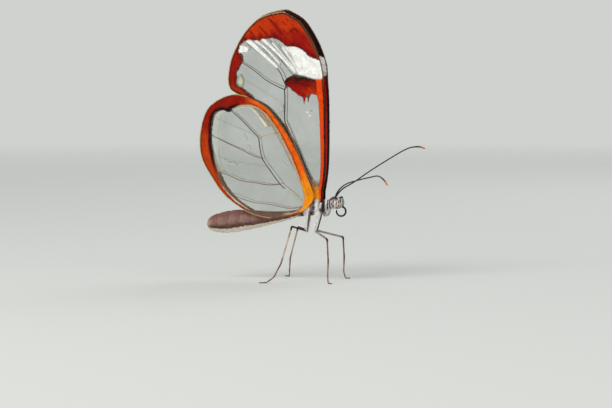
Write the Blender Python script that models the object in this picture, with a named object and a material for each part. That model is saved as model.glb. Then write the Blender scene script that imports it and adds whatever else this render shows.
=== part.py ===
"""A glasswing butterfly (Greta oto) at life size, standing with its wings closed over its back.

Lengths in the design are in millimetres and are scaled to metres as each mesh is made.
+X runs towards the head, +Y to the animal's left and +Z up. The feet rest on z = 0, and the
middle of the whole animal's box is over the origin.
"""

import math

import bmesh
import bpy
import numpy as np
from mathutils import Matrix, Vector
from mathutils.geometry import delaunay_2d_cdt

MM = 0.001
LEFT = 1
RIGHT = -1

# Wings: outlines and veins are drawn flat, forward and up from each wing's hinge.
WING_THICKNESS = 0.46
WING_EDGE_THICKNESS = 0.3
WING_EDGE_WIDTH = 1.6
VEIN_RIDGE = 0.16
VEIN_HALF_WIDTH = 0.34
OUTLINE_STEP = 1.1
VEIN_STEP = 1.05
MESH_GRID = 1.7

FOREWING_HINGE = (1.2, 12.25)
HINDWING_HINGE = (0.1, 11.5)
FOREWING_SIZE = {LEFT: 1.02, RIGHT: 1.0}
HINDWING_SIZE = {LEFT: 1.0, RIGHT: 1.0}

# The middle surface of the forewings: how far out from the middle plane it lies.
WING_ROOT_OUT = 0.85
WING_LEAN_OUT = 0.055
WING_CLOSING = 0.1
WING_CLOSING_HEIGHT = 10.0
HINDWING_OUTSIDE = 0.92

FOREWING_OUTLINE = [
    (-1.1, 0.5), (-2.2, 2.1), (-5.2, 8.1), (-8.3, 12.8), (-12.0, 15.7), (-13.4, 16.5),
    (-13.9, 18.0), (-13.4, 21.0), (-11.9, 24.0), (-10.2, 26.1), (-8.2, 27.5), (-5.2, 28.2),
    (-2.7, 27.2), (-0.4, 24.6), (1.0, 20.7), (1.4, 14.2), (1.4, 7.4), (1.5, 1.4), (0.8, 0.3),
]
FOREWING_VEINS = [
    [(0.9, 1.0), (0.9, 7.4), (0.8, 14.0), (0.3, 20.6), (-1.4, 24.7), (-4.6, 27.2)],
    [(0.2, 1.2), (0.1, 7.0), (-0.3, 13.6), (-1.4, 17.6), (-4.4, 17.0)],
    [(-0.4, 1.4), (-1.4, 4.2), (-3.6, 9.6), (-4.6, 11.8), (-4.6, 16.7)],
    [(-4.4, 17.0), (-6.2, 17.5), (-9.8, 20.0), (-11.6, 21.4)],
    [(-4.4, 17.3), (-6.4, 20.2), (-9.0, 23.2), (-10.2, 25.0)],
    [(-1.4, 17.6), (-3.4, 21.4), (-6.4, 24.8), (-7.8, 26.6)],
    [(-0.6, 17.6), (-1.6, 21.2), (-3.2, 24.6), (-4.8, 26.6)],
    [(-4.6, 11.8), (-8.2, 14.4), (-12.4, 17.4)],
    [(-4.6, 14.4), (-8.4, 16.4), (-12.5, 18.8)],
]
HINDWING_OUTLINE = [
    (0.7, 0.6), (0.75, 2.0), (-1.0, 6.6), (-2.7, 9.8), (-4.4, 12.4), (-6.6, 14.9), (-9.0, 16.2),
    (-11.5, 16.9), (-13.7, 16.3), (-15.7, 14.8), (-16.8, 12.4), (-17.3, 9.4), (-16.8, 6.8),
    (-15.3, 4.2), (-13.4, 1.6), (-11.2, -0.2), (-9.0, -1.4), (-6.0, -2.0), (-2.8, -1.7),
    (-0.6, -0.8), (0.4, -0.2),
]
HINDWING_VEINS = [
    [(0.0, 1.0), (-1.6, 4.6), (-3.6, 8.8), (-5.4, 11.8), (-8.4, 14.6), (-12.2, 15.4)],
    [(-0.6, 0.6), (-4.2, 3.2), (-6.6, 6.6), (-7.6, 9.0), (-8.0, 10.4), (-10.4, 12.8), (-12.0, 14.8)],
    [(-8.0, 10.4), (-6.2, 10.8), (-5.0, 10.6)],
    [(-7.2, 7.2), (-9.8, 8.4), (-13.0, 9.7), (-15.8, 10.6)],
    [(-8.0, 10.2), (-11.6, 11.6), (-15.0, 13.4)],
    [(-4.2, 3.2), (-7.6, 3.4), (-10.6, 4.0), (-14.6, 5.0)],
    [(-6.6, 6.4), (-10.4, 6.6), (-15.8, 7.6)],
    [(-0.8, 0.0), (-5.6, 0.4), (-8.4, 0.5), (-12.0, 1.3)],
]

# Body: sections along X as (x, centre height, half height, half width).
THORAX_SECTIONS = [
    (-1.5, 10.45, 0.42, 0.4), (-1.1, 10.7, 0.8, 0.8), (-0.3, 11.0, 1.1, 1.15),
    (0.7, 11.15, 1.2, 1.28), (1.7, 11.2, 1.15, 1.18), (2.4, 11.25, 0.95, 0.95),
    (2.8, 11.35, 0.62, 0.6),
]
ABDOMEN_SECTIONS = [
    (-1.8, 10.3, 0.42, 0.4), (-2.4, 10.2, 0.58, 0.5), (-3.9, 9.93, 0.76, 0.62),
    (-6.3, 9.63, 1.04, 0.8), (-8.6, 9.33, 1.34, 0.98), (-11.0, 9.05, 1.52, 1.1),
    (-12.6, 8.85, 1.56, 1.12), (-13.8, 8.68, 1.42, 1.02), (-14.9, 8.52, 1.1, 0.8),
    (-15.7, 8.45, 0.7, 0.52), (-16.2, 8.42, 0.3, 0.25),
]
ABDOMEN_SEGMENTS = 8
SEGMENT_GROOVE = 0.05
HEAD_SECTIONS = [
    (3.1, 11.65, 0.5, 0.5), (3.3, 11.8, 0.78, 0.5), (3.6, 11.88, 0.9, 0.44),
    (4.05, 11.9, 0.93, 0.42), (4.4, 11.87, 0.8, 0.4), (4.62, 11.85, 0.56, 0.34),
    (4.74, 11.85, 0.3, 0.22),
]
BODY_SIDES = 20

EYE_CENTRE = (4.08, 0.55, 11.7)
EYE_RADII = (0.7, 0.68, 0.78)
EYE_BASE = 0.72
EYE_SEGMENTS = 16
EYE_RINGS = 12

# Tubes: paths of (x, outward, z), with the radius at each point.
PALP_PATH = [(4.6, 0.74, 10.72), (4.98, 0.76, 10.95), (5.22, 0.76, 11.5), (5.25, 0.76, 12.1), (5.18, 0.7, 12.7)]
PALP_RADII = [0.2, 0.22, 0.21, 0.19, 0.1]
PROBOSCIS_COIL_CENTRE = (4.8, 10.4)
PROBOSCIS_COIL_RADIUS = 0.78
PROBOSCIS_COIL_FROM = math.radians(62)
PROBOSCIS_COIL_TO = math.radians(-180)
PROBOSCIS_COIL_POINTS = 18
PROBOSCIS_ROOT = (4.92, 11.2)
PROBOSCIS_RADII = (0.22, 0.16)

ANTENNA_ROOT = (4.2, 0.36, 13.08)
ANTENNA_RISE = {
    LEFT: [(0.0, 0.0), (0.9, 0.9), (2.6, 1.85), (5.1, 3.5), (8.1, 5.3), (10.9, 6.8), (12.7, 7.1), (13.8, 6.8)],
    RIGHT: [(0.0, 0.0), (1.0, 0.9), (2.9, 1.75), (6.0, 2.4), (9.0, 2.9), (11.3, 3.2), (12.9, 2.7), (13.9, 1.9)],
}
ANTENNA_SPREAD = {LEFT: math.radians(30), RIGHT: math.radians(42)}
ANTENNA_RADII = [0.25, 0.25, 0.25, 0.25, 0.25, 0.25, 0.26, 0.16]

HIND_LEG_PATHS = {
    RIGHT: [(-0.45, 0.72, 9.72), (-0.38, 0.95, 7.5), (-1.95, 3.1, 8.35), (-3.0, 5.3, 2.9), (-3.9, 6.0, 0.9),
            (-4.9, 6.5, 0.17), (-5.75, 6.85, 0.15)],
    LEFT: [(-0.45, 0.72, 9.72), (-0.6, 0.95, 7.5), (-2.7, 2.9, 7.9), (-4.6, 5.1, 3.0), (-4.95, 5.9, 0.9),
           (-5.1, 6.4, 0.17), (-5.8, 6.85, 0.15)],
}
MID_LEG_PATHS = {
    RIGHT: [(1.35, 0.8, 9.62), (1.1, 1.15, 7.5), (3.5, 2.9, 6.5), (4.0, 4.1, 3.4), (4.1, 4.75, 1.1),
            (4.25, 5.05, 0.17), (4.75, 5.35, 0.15)],
    LEFT: [(1.35, 0.8, 9.62), (0.95, 1.15, 7.5), (4.4, 2.9, 6.5), (4.25, 4.1, 3.4), (4.0, 4.75, 1.1),
           (4.2, 5.05, 0.17), (4.7, 5.35, 0.15)],
}
LEG_RADII = [0.5, 0.3, 0.26, 0.25, 0.25, 0.25, 0.25]
FORELEG_PATH = [(2.4, 0.6, 9.85), (2.65, 0.72, 9.5), (3.05, 0.74, 9.75), (3.25, 0.7, 10.5)]
FORELEG_RADII = [0.28, 0.26, 0.25, 0.14]
TUBE_STEP = 0.8
LEG_BEND = 0.35

COLOURS = {
    "forewing": ((0.62, 0.6, 0.52), 0.35), "hindwing": ((0.6, 0.58, 0.5), 0.35),
    "thorax": ((0.75, 0.72, 0.7), 0.8), "abdomen": ((0.3, 0.2, 0.18), 0.6),
    "head": ((0.7, 0.66, 0.66), 0.7), "eye": ((0.5, 0.46, 0.42), 0.15),
    "palp": ((0.75, 0.75, 0.75), 0.7), "proboscis": ((0.02, 0.02, 0.02), 0.3),
    "antenna": ((0.12, 0.09, 0.05), 0.5), "foreleg": ((0.75, 0.73, 0.7), 0.7),
    "midleg": ((0.6, 0.55, 0.5), 0.6), "hindleg": ((0.6, 0.55, 0.5), 0.6),
}


def clear_scene():
    for old in list(bpy.data.objects):
        bpy.data.objects.remove(old, do_unlink=True)


def collection_named(name):
    collection = bpy.data.collections.new(name)
    bpy.context.scene.collection.children.link(collection)
    return collection


def material_for(kind):
    material = bpy.data.materials.get(kind) or bpy.data.materials.new(kind)
    material.use_nodes = True
    shader = material.node_tree.nodes["Principled BSDF"]
    colour, roughness = COLOURS[kind]
    shader.inputs["Base Color"].default_value = (*colour, 1.0)
    shader.inputs["Roughness"].default_value = roughness
    shader.inputs["Metallic"].default_value = 0.0
    return material


def object_from_bmesh(name, bm, collection):
    """Make a node's object from a mesh drawn in millimetres."""
    bmesh.ops.scale(bm, vec=(MM, MM, MM), verts=bm.verts)
    bmesh.ops.recalc_face_normals(bm, faces=bm.faces)
    mesh = bpy.data.meshes.new(name)
    bm.to_mesh(mesh)
    bm.free()
    mesh.shade_smooth()
    mesh.set_sharp_from_angle(angle=math.radians(50))
    obj = bpy.data.objects.new(name, mesh)
    obj.data.materials.append(material_for(name.split("_")[0]))
    collection.objects.link(obj)
    return obj


def spline_point(before, start, end, after, t):
    """A point of the Catmull-Rom curve from start to end."""
    return 0.5 * (2 * start + (end - before) * t + (2 * before - 5 * start + 4 * end - after) * t * t
                  + (3 * start - before - 3 * end + after) * t ** 3)


def smooth_path(points, step, closed=False):
    """Points about a step apart along a smooth curve through the given ones."""
    points = np.array(points, dtype=float)
    count = len(points)
    if closed:
        ring = np.vstack([points[-1:], points, points[:2]])
        spans = count
    else:
        ring = np.vstack([2 * points[0] - points[1], points, 2 * points[-1] - points[-2]])
        spans = count - 1
    path = []
    for i in range(spans):
        before, start, end, after = ring[i:i + 4]
        pieces = max(1, round(np.linalg.norm(end - start) / step))
        path += [spline_point(before, start, end, after, k / pieces) for k in range(pieces)]
    if not closed:
        path.append(points[-1])
    return np.array(path)


def distance_to_path(p, path):
    """The distance from a flat point to a run of straight stretches."""
    start, end = path[:-1], path[1:]
    along = end - start
    t = np.clip(((p - start) * along).sum(1) / (along ** 2).sum(1), 0, 1)
    return np.sqrt(((start + along * t[:, None] - p) ** 2).sum(1)).min()


def inside_outline(p, outline):
    """Whether a flat point lies inside a closed outline."""
    x, y = p
    ax, ay = outline[:, 0], outline[:, 1]
    bx, by = np.roll(ax, -1), np.roll(ay, -1)
    crosses = (ay > y) != (by > y)
    reach = ax[crosses] + (y - ay[crosses]) * (bx[crosses] - ax[crosses]) / (by[crosses] - ay[crosses])
    return (reach > x).sum() % 2 == 1


def wing_points(outline, veins):
    """Flat points and fixed edges of a wing: its margin, its veins, their flanks and a grid."""
    points = [tuple(p) for p in outline]
    edges = [(i, (i + 1) % len(outline)) for i in range(len(outline))]
    for vein in veins:
        first = len(points)
        points += [tuple(p) for p in vein]
        edges += [(first + i, first + i + 1) for i in range(len(vein) - 1)]
    rim = np.vstack([outline, outline[:1]])
    loose = []
    for vein in veins:
        ahead = np.gradient(vein, axis=0)
        across = np.column_stack([-ahead[:, 1], ahead[:, 0]]) / np.linalg.norm(ahead, axis=1)[:, None]
        loose += list(vein + VEIN_HALF_WIDTH * across) + list(vein - VEIN_HALF_WIDTH * across)
    low, high = outline.min(0), outline.max(0)
    for row, v in enumerate(np.arange(low[1], high[1], MESH_GRID)):
        loose += [np.array((u, v)) for u in np.arange(low[0] + MESH_GRID * (row % 2) / 2, high[0], MESH_GRID)]
    kept = []
    for p in loose:
        near_vein = min(distance_to_path(p, vein) for vein in veins)
        near_kept = min((math.dist(p, q) for q in kept), default=9.0)
        clear = near_vein > 0.85 * VEIN_HALF_WIDTH and near_kept > VEIN_HALF_WIDTH
        if clear and distance_to_path(p, rim) > VEIN_HALF_WIDTH and inside_outline(p, outline):
            kept.append(tuple(p))
    return points + kept, edges


def forewing_middle(x, z):
    """How far out from the middle plane a forewing lies: less towards the rear of its upper part."""
    height = z - FOREWING_HINGE[1]
    t = min(1.0, max(0.0, height / WING_CLOSING_HEIGHT))
    closing = WING_CLOSING * t * t * (3 - 2 * t)
    return WING_ROOT_OUT + WING_LEAN_OUT * height + closing * (x - FOREWING_HINGE[0])


def wing_solid(name, side, size, hinge, outside, outline, veins, collection):
    """A thin curved wing whose veins stand up from both faces, on one shared set of triangles."""
    outline = smooth_path(outline, OUTLINE_STEP, closed=True)
    veins = [smooth_path(vein, VEIN_STEP) for vein in veins]
    points, edges = wing_points(outline, veins)
    flat, _, faces, _, _, _ = delaunay_2d_cdt([Vector(p) for p in points], edges, [], 1, 1e-4)
    rim_path = np.vstack([outline, outline[:1]])
    bm = bmesh.new()
    outer, inner = [], []
    for p in flat:
        u, v = p
        from_rim = distance_to_path(np.array((u, v)), rim_path)
        from_vein = min(distance_to_path(np.array((u, v)), vein) for vein in veins)
        plate = min(1.0, from_rim / WING_EDGE_WIDTH)
        half = (WING_EDGE_THICKNESS + (WING_THICKNESS - WING_EDGE_THICKNESS) * plate) / 2
        half += VEIN_RIDGE * max(0.0, 1 - from_vein / VEIN_HALF_WIDTH) * min(1.0, from_rim / VEIN_HALF_WIDTH)
        x = hinge[0] + u * size
        z = hinge[1] + v * size
        y = forewing_middle(x, z) + outside
        outer.append(bm.verts.new((x, side * (y + half), z)))
        inner.append(bm.verts.new((x, side * (y - half), z)))
    rim_count = {}
    for face in faces:
        bm.faces.new([outer[i] for i in face])
        bm.faces.new([inner[i] for i in reversed(face)])
        for a, b in zip(face, face[1:] + face[:1]):
            rim_count.setdefault(frozenset((a, b)), []).append((a, b))
    for uses in rim_count.values():
        if len(uses) == 1:
            a, b = uses[0]
            bm.faces.new((outer[b], outer[a], inner[a], inner[b]))
    bmesh.ops.triangulate(bm, faces=[f for f in bm.faces if len(f.verts) > 3])
    loose = [v for v in bm.verts if not v.link_faces]
    bmesh.ops.delete(bm, geom=loose, context="VERTS")
    return object_from_bmesh(name, bm, collection)


def section_ring(bm, x, z, half_height, half_width):
    """A ring of a body section, round at the top and bottom."""
    ring = []
    for k in range(BODY_SIDES):
        a = 2 * math.pi * k / BODY_SIDES
        ring.append(bm.verts.new((x, half_width * math.sin(a), z + half_height * math.cos(a))))
    return ring


def lofted_body(name, sections, collection):
    """A closed body through elliptic sections along X."""
    bm = bmesh.new()
    rings = [section_ring(bm, *section) for section in sections]
    for a, b in zip(rings, rings[1:]):
        for k in range(BODY_SIDES):
            bm.faces.new((a[k], a[k - 1], b[k - 1], b[k]))
    bm.faces.new(rings[0])
    bm.faces.new(list(reversed(rings[-1])))
    return object_from_bmesh(name, bm, collection)


def abdomen_sections():
    """Sections of the abdomen, drawn in a little at each joint between segments."""
    base = np.array(ABDOMEN_SECTIONS)
    front, rear = base[0, 0], base[-1, 0]
    sections = []
    for segment in range(ABDOMEN_SEGMENTS):
        for part, groove in ((0.0, SEGMENT_GROOVE), (0.2, 0.0), (0.65, 0.0)):
            x = front + (rear - front) * (segment + part) / ABDOMEN_SEGMENTS
            row = [np.interp(-x, -base[:, 0], base[:, column]) for column in (1, 2, 3)]
            keep = 1.0 if segment == 0 else 1.0 - groove
            sections.append((x, row[0], row[1] * keep, row[2] * keep))
    return sections + [tuple(base[-1])]


def eye(side, collection):
    """An eye: the outer part of an ellipsoid, flat where it faces the head."""
    bm = bmesh.new()
    bmesh.ops.create_uvsphere(bm, u_segments=EYE_SEGMENTS, v_segments=EYE_RINGS, radius=1.0)
    bmesh.ops.rotate(bm, verts=bm.verts, matrix=Matrix.Rotation(math.pi / 2, 3, "X"))
    bmesh.ops.scale(bm, vec=EYE_RADII, verts=bm.verts)
    bmesh.ops.translate(bm, vec=(EYE_CENTRE[0], side * EYE_CENTRE[1], EYE_CENTRE[2]), verts=bm.verts)
    cut_flat(bm, (0, side * EYE_BASE, 0), (0, -side, 0))
    return object_from_bmesh(f"eye_{side_name(side)}", bm, collection)


def cut_flat(bm, place, away):
    """Cut off what lies on the away side of a plane, and close the cut."""
    geometry = list(bm.verts) + list(bm.edges) + list(bm.faces)
    cut = bmesh.ops.bisect_plane(bm, geom=geometry, plane_co=place, plane_no=away, dist=1e-5, clear_outer=True)
    rim = [e for e in cut["geom_cut"] if isinstance(e, bmesh.types.BMEdge)]
    bmesh.ops.contextual_create(bm, geom=rim)
    bmesh.ops.triangulate(bm, faces=[f for f in bm.faces if len(f.verts) > 4])


def bent_path(joints):
    """The middle line of a jointed limb, with each bend rounded off in two steps."""
    path = [joints[0]]
    for before, joint, after in zip(joints, joints[1:], joints[2:]):
        back, ahead = before - joint, after - joint
        start = joint + back * min(LEG_BEND / back.length, 0.4)
        end = joint + ahead * min(LEG_BEND / ahead.length, 0.4)
        path += [start, (start + end) / 4 + joint / 2, end]
    return path + [joints[-1]]


def leg(name, path, side, collection):
    """A walking leg from its long coxa to the end of its foot, flat where it meets the floor."""
    joints = [Vector((*p, r)) for p, r in zip(outward(path, side), LEG_RADII)]
    return tube(f"{name}_{side_name(side)}", bent_path(joints), collection, feet_on_floor=True)


def feeler(name, points, radii, collection, step=TUBE_STEP):
    """A part that curves smoothly through its points."""
    return tube(name, smooth_path([(*p, r) for p, r in zip(points, radii)], step), collection)


def tube(name, path, collection, feet_on_floor=False):
    """A tube with flat ends along points given as (x, y, z, radius)."""
    curve = bpy.data.curves.new(name, "CURVE")
    curve.dimensions = "3D"
    curve.bevel_depth = 1.0
    curve.bevel_resolution = 2
    curve.use_fill_caps = True
    spline = curve.splines.new("POLY")
    spline.points.add(len(path) - 1)
    for point, (x, y, z, radius) in zip(spline.points, path):
        point.co = (x, y, z, 1.0)
        point.radius = radius
    guide = bpy.data.objects.new(f"{name}_guide", curve)
    collection.objects.link(guide)
    bpy.context.view_layer.update()
    evaluated = guide.evaluated_get(bpy.context.evaluated_depsgraph_get())
    mesh = bpy.data.meshes.new_from_object(evaluated)
    bm = bmesh.new()
    bm.from_mesh(mesh)
    bmesh.ops.remove_doubles(bm, verts=bm.verts, dist=1e-4)
    bpy.data.objects.remove(guide, do_unlink=True)
    bpy.data.meshes.remove(mesh)
    if feet_on_floor:
        cut_flat(bm, (0, 0, 0), (0, 0, -1))
    return object_from_bmesh(name, bm, collection)


def side_name(side):
    return "left" if side == LEFT else "right"


def outward(path, side):
    """A path given as (x, outward, z), placed on one side of the body."""
    return [(x, side * y, z) for x, y, z in path]


def antenna_path(side):
    """An antenna rising forward and outward from the crown of the head."""
    spread = ANTENNA_SPREAD[side]
    x, y, z = ANTENNA_ROOT
    return [(x + run * math.cos(spread), side * (y + run * math.sin(spread)), z + rise)
            for run, rise in ANTENNA_RISE[side]]


def proboscis_path():
    """The tongue: out of the mouth, then round in one coil in the middle plane."""
    path = [(PROBOSCIS_ROOT[0], 0, PROBOSCIS_ROOT[1])]
    x, z = PROBOSCIS_COIL_CENTRE
    for k in range(PROBOSCIS_COIL_POINTS):
        t = k / (PROBOSCIS_COIL_POINTS - 1)
        angle = PROBOSCIS_COIL_FROM + (PROBOSCIS_COIL_TO - PROBOSCIS_COIL_FROM) * t
        path.append((x + PROBOSCIS_COIL_RADIUS * math.cos(angle), 0, z + PROBOSCIS_COIL_RADIUS * math.sin(angle)))
    return path


def centre_over_origin(objects):
    """Move every piece so that the middle of their common box is over the origin."""
    corners = np.array([obj.matrix_world @ vertex.co for obj in objects for vertex in obj.data.vertices])
    middle = (corners.min(0) + corners.max(0)) / 2
    for obj in objects:
        for vertex in obj.data.vertices:
            vertex.co.x -= middle[0]
            vertex.co.y -= middle[1]


def build():
    clear_scene()
    butterfly = collection_named("glasswing_butterfly")
    lofted_body("thorax", THORAX_SECTIONS, butterfly)
    lofted_body("abdomen", abdomen_sections(), butterfly)
    lofted_body("head", HEAD_SECTIONS, butterfly)
    coil = proboscis_path()
    coil_radii = np.linspace(*PROBOSCIS_RADII, len(coil))
    feeler("proboscis", coil, coil_radii, butterfly, step=0.4)
    for side in (LEFT, RIGHT):
        name = side_name(side)
        eye(side, butterfly)
        feeler(f"palp_{name}", outward(PALP_PATH, side), PALP_RADII, butterfly, step=0.35)
        feeler(f"antenna_{name}", antenna_path(side), ANTENNA_RADII, butterfly)
        feeler(f"foreleg_{name}", outward(FORELEG_PATH, side), FORELEG_RADII, butterfly, step=0.4)
        leg("midleg", MID_LEG_PATHS[side], side, butterfly)
        leg("hindleg", HIND_LEG_PATHS[side], side, butterfly)
        wing_solid(f"forewing_{name}", side, FOREWING_SIZE[side], FOREWING_HINGE, 0.0,
                   FOREWING_OUTLINE, FOREWING_VEINS, butterfly)
        wing_solid(f"hindwing_{name}", side, HINDWING_SIZE[side], HINDWING_HINGE, HINDWING_OUTSIDE,
                   HINDWING_OUTLINE, HINDWING_VEINS, butterfly)
    centre_over_origin(list(butterfly.objects))


build()
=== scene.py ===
"""The looks of a life-size glasswing butterfly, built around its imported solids.

Lengths are in millimetres on the body's own axes: x towards the head, y to the left, z up from the floor.
A wing is drawn flat in (u, v): u forward of its hinge and v above it. in_frame() turns millimetres on the
body's axes into metres in the frame.
"""

import math

import bmesh
import bpy
import numpy as np
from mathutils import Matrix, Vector
from mathutils.geometry import delaunay_2d_cdt
from mathutils.kdtree import KDTree


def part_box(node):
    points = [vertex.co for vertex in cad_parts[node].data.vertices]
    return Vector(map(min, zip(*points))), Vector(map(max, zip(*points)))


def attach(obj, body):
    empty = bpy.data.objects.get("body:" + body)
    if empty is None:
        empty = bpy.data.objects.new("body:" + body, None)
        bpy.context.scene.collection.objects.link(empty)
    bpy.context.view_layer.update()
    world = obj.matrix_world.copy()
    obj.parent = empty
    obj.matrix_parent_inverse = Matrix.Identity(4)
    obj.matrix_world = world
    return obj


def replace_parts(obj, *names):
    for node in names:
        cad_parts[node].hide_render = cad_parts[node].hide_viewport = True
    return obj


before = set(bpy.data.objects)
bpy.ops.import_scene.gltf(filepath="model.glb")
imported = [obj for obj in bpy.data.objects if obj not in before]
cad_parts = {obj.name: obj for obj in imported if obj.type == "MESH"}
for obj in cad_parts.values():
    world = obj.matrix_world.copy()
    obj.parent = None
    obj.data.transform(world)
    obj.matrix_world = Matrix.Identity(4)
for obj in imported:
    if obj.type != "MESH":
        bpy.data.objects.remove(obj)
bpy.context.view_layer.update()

MM = 0.001
LEFT, RIGHT = 1, -1
SIDES = {"left": LEFT, "right": RIGHT}

# The thorax solid's rear end lies here on the body's axes, so its box in the frame gives their origin.
THORAX_REAR = -1.5

# Camera: round from a square side view, above the horizon, its distance, and the width that it takes in.
CAMERA_AZIMUTH = math.radians(16)
CAMERA_ELEVATION = math.radians(3)
CAMERA_DISTANCE = 400.0
CAMERA_SEES = 92.4
CAMERA_TARGET = (-0.577, -0.165, 11.6)
SENSOR = 36.0

# Wings: their hinges, how far out they stand, and how they lean and close towards their tips.
FOREWING_HINGE = (1.2, 12.25)
HINDWING_HINGE = (0.1, 11.5)
WING_ROOT_OUT = 0.85
WING_LEAN_OUT = 0.055
WING_CLOSING = 0.1
WING_CLOSING_HEIGHT = 10.0
# How the left wings are set otherwise than the right ones: length, height, turn and distance further back.
LEFT_FOREWING = (0.995, 1.02, 0.021, 0.0)
LEFT_HINDWING = (0.985, 1.0, 0.0, 0.6)
AS_DRAWN = (1.0, 1.0, 0.0, 0.0)
HINDWING_OUTSIDE = 0.92
HINDWING_ROOT_BEND = 0.42
ROOT_BEND_LENGTH = 3.0
MEMBRANE_HALF = 0.03
BILLOW = 0.07
BILLOW_WIDTH = 1.1
FAINT_VEIN = 0.04
# How much the veins' inner sides fade into the membrane.
FOREWING_VEIN_FADE = 0.8
HINDWING_VEIN_FADE = 0.9
VEIN_SIDES = 8
# Steps along curves that are drawn on the wings and body, and over which a slope is measured.
VEIN_STEP = 0.15
STROKE_STEP = 0.4
EDGE_STEP = 0.3
SLOPE_STEP = 0.05
WING_MESH = 0.14
RIM_MESH = 0.2
FOREWING_OUTLINE = [
    (-1.0, -0.35), (-2.2, 2.1), (-5.2, 8.1), (-8.3, 12.8), (-12.0, 15.7), (-13.4, 16.5), (-13.9, 18.0),
    (-13.4, 21.0), (-11.9, 24.0), (-10.2, 26.1), (-8.2, 27.5), (-5.2, 28.2), (-3.8, 27.8), (-2.0, 26.6),
    (-0.45, 24.35), (0.7, 21.9), (1.35, 19.6), (1.5, 17.0), (1.64, 14.2), (1.62, 7.4), (1.45, 4.0),
    (1.05, 1.4), (0.8, -0.35),
]
HINDWING_OUTLINE = [
    (0.88, 1.1), (0.78, 2.2), (-0.9, 6.6), (-2.6, 9.8), (-4.3, 12.35), (-6.5, 14.75), (-8.95, 16.0),
    (-11.4, 16.55), (-13.7, 16.0), (-15.8, 14.6), (-16.9, 12.4), (-17.35, 9.4), (-16.85, 6.8), (-15.2, 4.2),
    (-13.2, 1.6), (-11.0, -0.15), (-8.9, -1.3), (-6.0, -1.95), (-3.5, -1.8), (-1.6, -1.35), (-0.7, -0.85),
    (0.1, -0.15), (0.6, 0.45),
]

# Markings on a forewing: edges are given as points (u, v), and widths as (v, width).
APEX_EDGE = [(-12.9, 23.1), (-11.5, 23.9), (-9.1, 24.0), (-6.7, 24.3), (-5.4, 23.9), (-4.2, 23.0),
             (-3.0, 23.0), (-1.8, 22.5), (-0.8, 21.6), (0.8, 21.0)]
BAND_EDGE = [(-12.6, 21.6), (-11.1, 22.2), (-9.5, 22.0), (-7.9, 21.3), (-6.3, 20.2), (-4.7, 19.2),
             (-3.6, 18.7), (-1.6, 18.35), (-0.5, 18.05), (1.6, 17.6)]
BAR_TOP = [(-4.9, 17.6), (-4.3, 18.25), (-3.3, 18.5), (-2.0, 18.35), (-0.4, 18.1), (1.6, 17.7)]
BAR_LOW = [(-4.9, 17.35), (-4.1, 16.95), (-3.5, 16.35), (-2.5, 15.75), (-1.85, 15.3), (-1.65, 14.4),
           (-1.4, 15.3), (-0.9, 15.8), (0.2, 15.8), (1.2, 15.3)]
# On the inner face the white band is narrower at its lower edge by this much.
INNER_BAND_RISE = 0.9
MARGIN_BAND = [(12.0, 0.4), (14.5, 0.55), (15.5, 0.85), (16.6, 1.0), (17.5, 1.15), (18.4, 1.2), (19.3, 1.2),
               (20.1, 1.5), (20.8, 1.85), (21.5, 1.4), (22.2, 0.6), (23.0, 0.4)]
COSTAL_BAND = [(-1.0, 0.6), (1.5, 0.6), (4.0, 0.68), (7.5, 0.76), (12.0, 0.86), (15.0, 1.0), (18.0, 1.15)]
APEX_FRONT_BAND = 0.36
PALE_SPOT = (-11.95, 17.75)
PALE_SPOT_RADII = (0.62, 1.15)
# Streaks of colour on a forewing run this way and are so wide and so many times as long.
STREAK_WAY = (0.75, -0.66)
STREAK_WIDTH = 0.24
STREAK_LENGTHS = 4.0

# Markings on a hindwing: the clear window inside its border.
HINDWING_WINDOW = [
    (-11.95, 14.5), (-10.6, 14.9), (-9.05, 15.0), (-7.7, 14.5), (-6.6, 13.7), (-5.75, 12.8), (-5.05, 11.85),
    (-4.2, 10.5), (-3.4, 9.0), (-2.6, 7.5), (-1.8, 5.6), (-1.05, 3.7), (-0.62, 2.2), (-0.5, 1.0),
    (-0.75, 0.0), (-1.4, -0.85), (-2.8, -1.4), (-5.9, -1.65), (-8.3, -1.2), (-10.3, -0.25), (-11.5, 0.55),
    (-12.75, 1.8), (-13.6, 3.0), (-14.2, 4.3), (-14.4, 5.3), (-14.85, 6.5), (-15.25, 8.0), (-15.5, 9.2),
    (-15.5, 11.3), (-15.3, 12.8), (-14.8, 13.8), (-13.8, 14.25), (-13.0, 14.1), (-12.45, 14.0),
]
# A vein ends in a dark knot here on the border.
BORDER_KNOT = (-12.4, 14.3)

# Scales and hair. Scales lie away from one point near the hinge and from another beyond the given heights.
FOREWING_LIE = ((0.4, -3.0), (1.6, 16.0), (15.0, 20.0))
HINDWING_LIE = ((1.4, -0.6), (-3.0, 4.0), (8.0, 14.0))
SCALE_ROW = 0.135
SCALE_PITCH = 0.105
SCALE_LENGTH = 0.25
SCALE_WIDTH = 0.135
SCALE_THICK = 0.012
SCALE_LIFT = 0.03
SCALE_ARCS = (1.0, -4.0)
# Scales grow between these shares of cover; below them the membrane is only tinted.
SCALED_COVER = (0.35, 0.9)
FRINGE_LENGTH = 0.17
FRINGE_WIDTH = 0.06
FRINGE_PITCH = 0.05
# The share of a bake map's width that one scale or tuft takes up.
PATCH = 0.003

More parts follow.
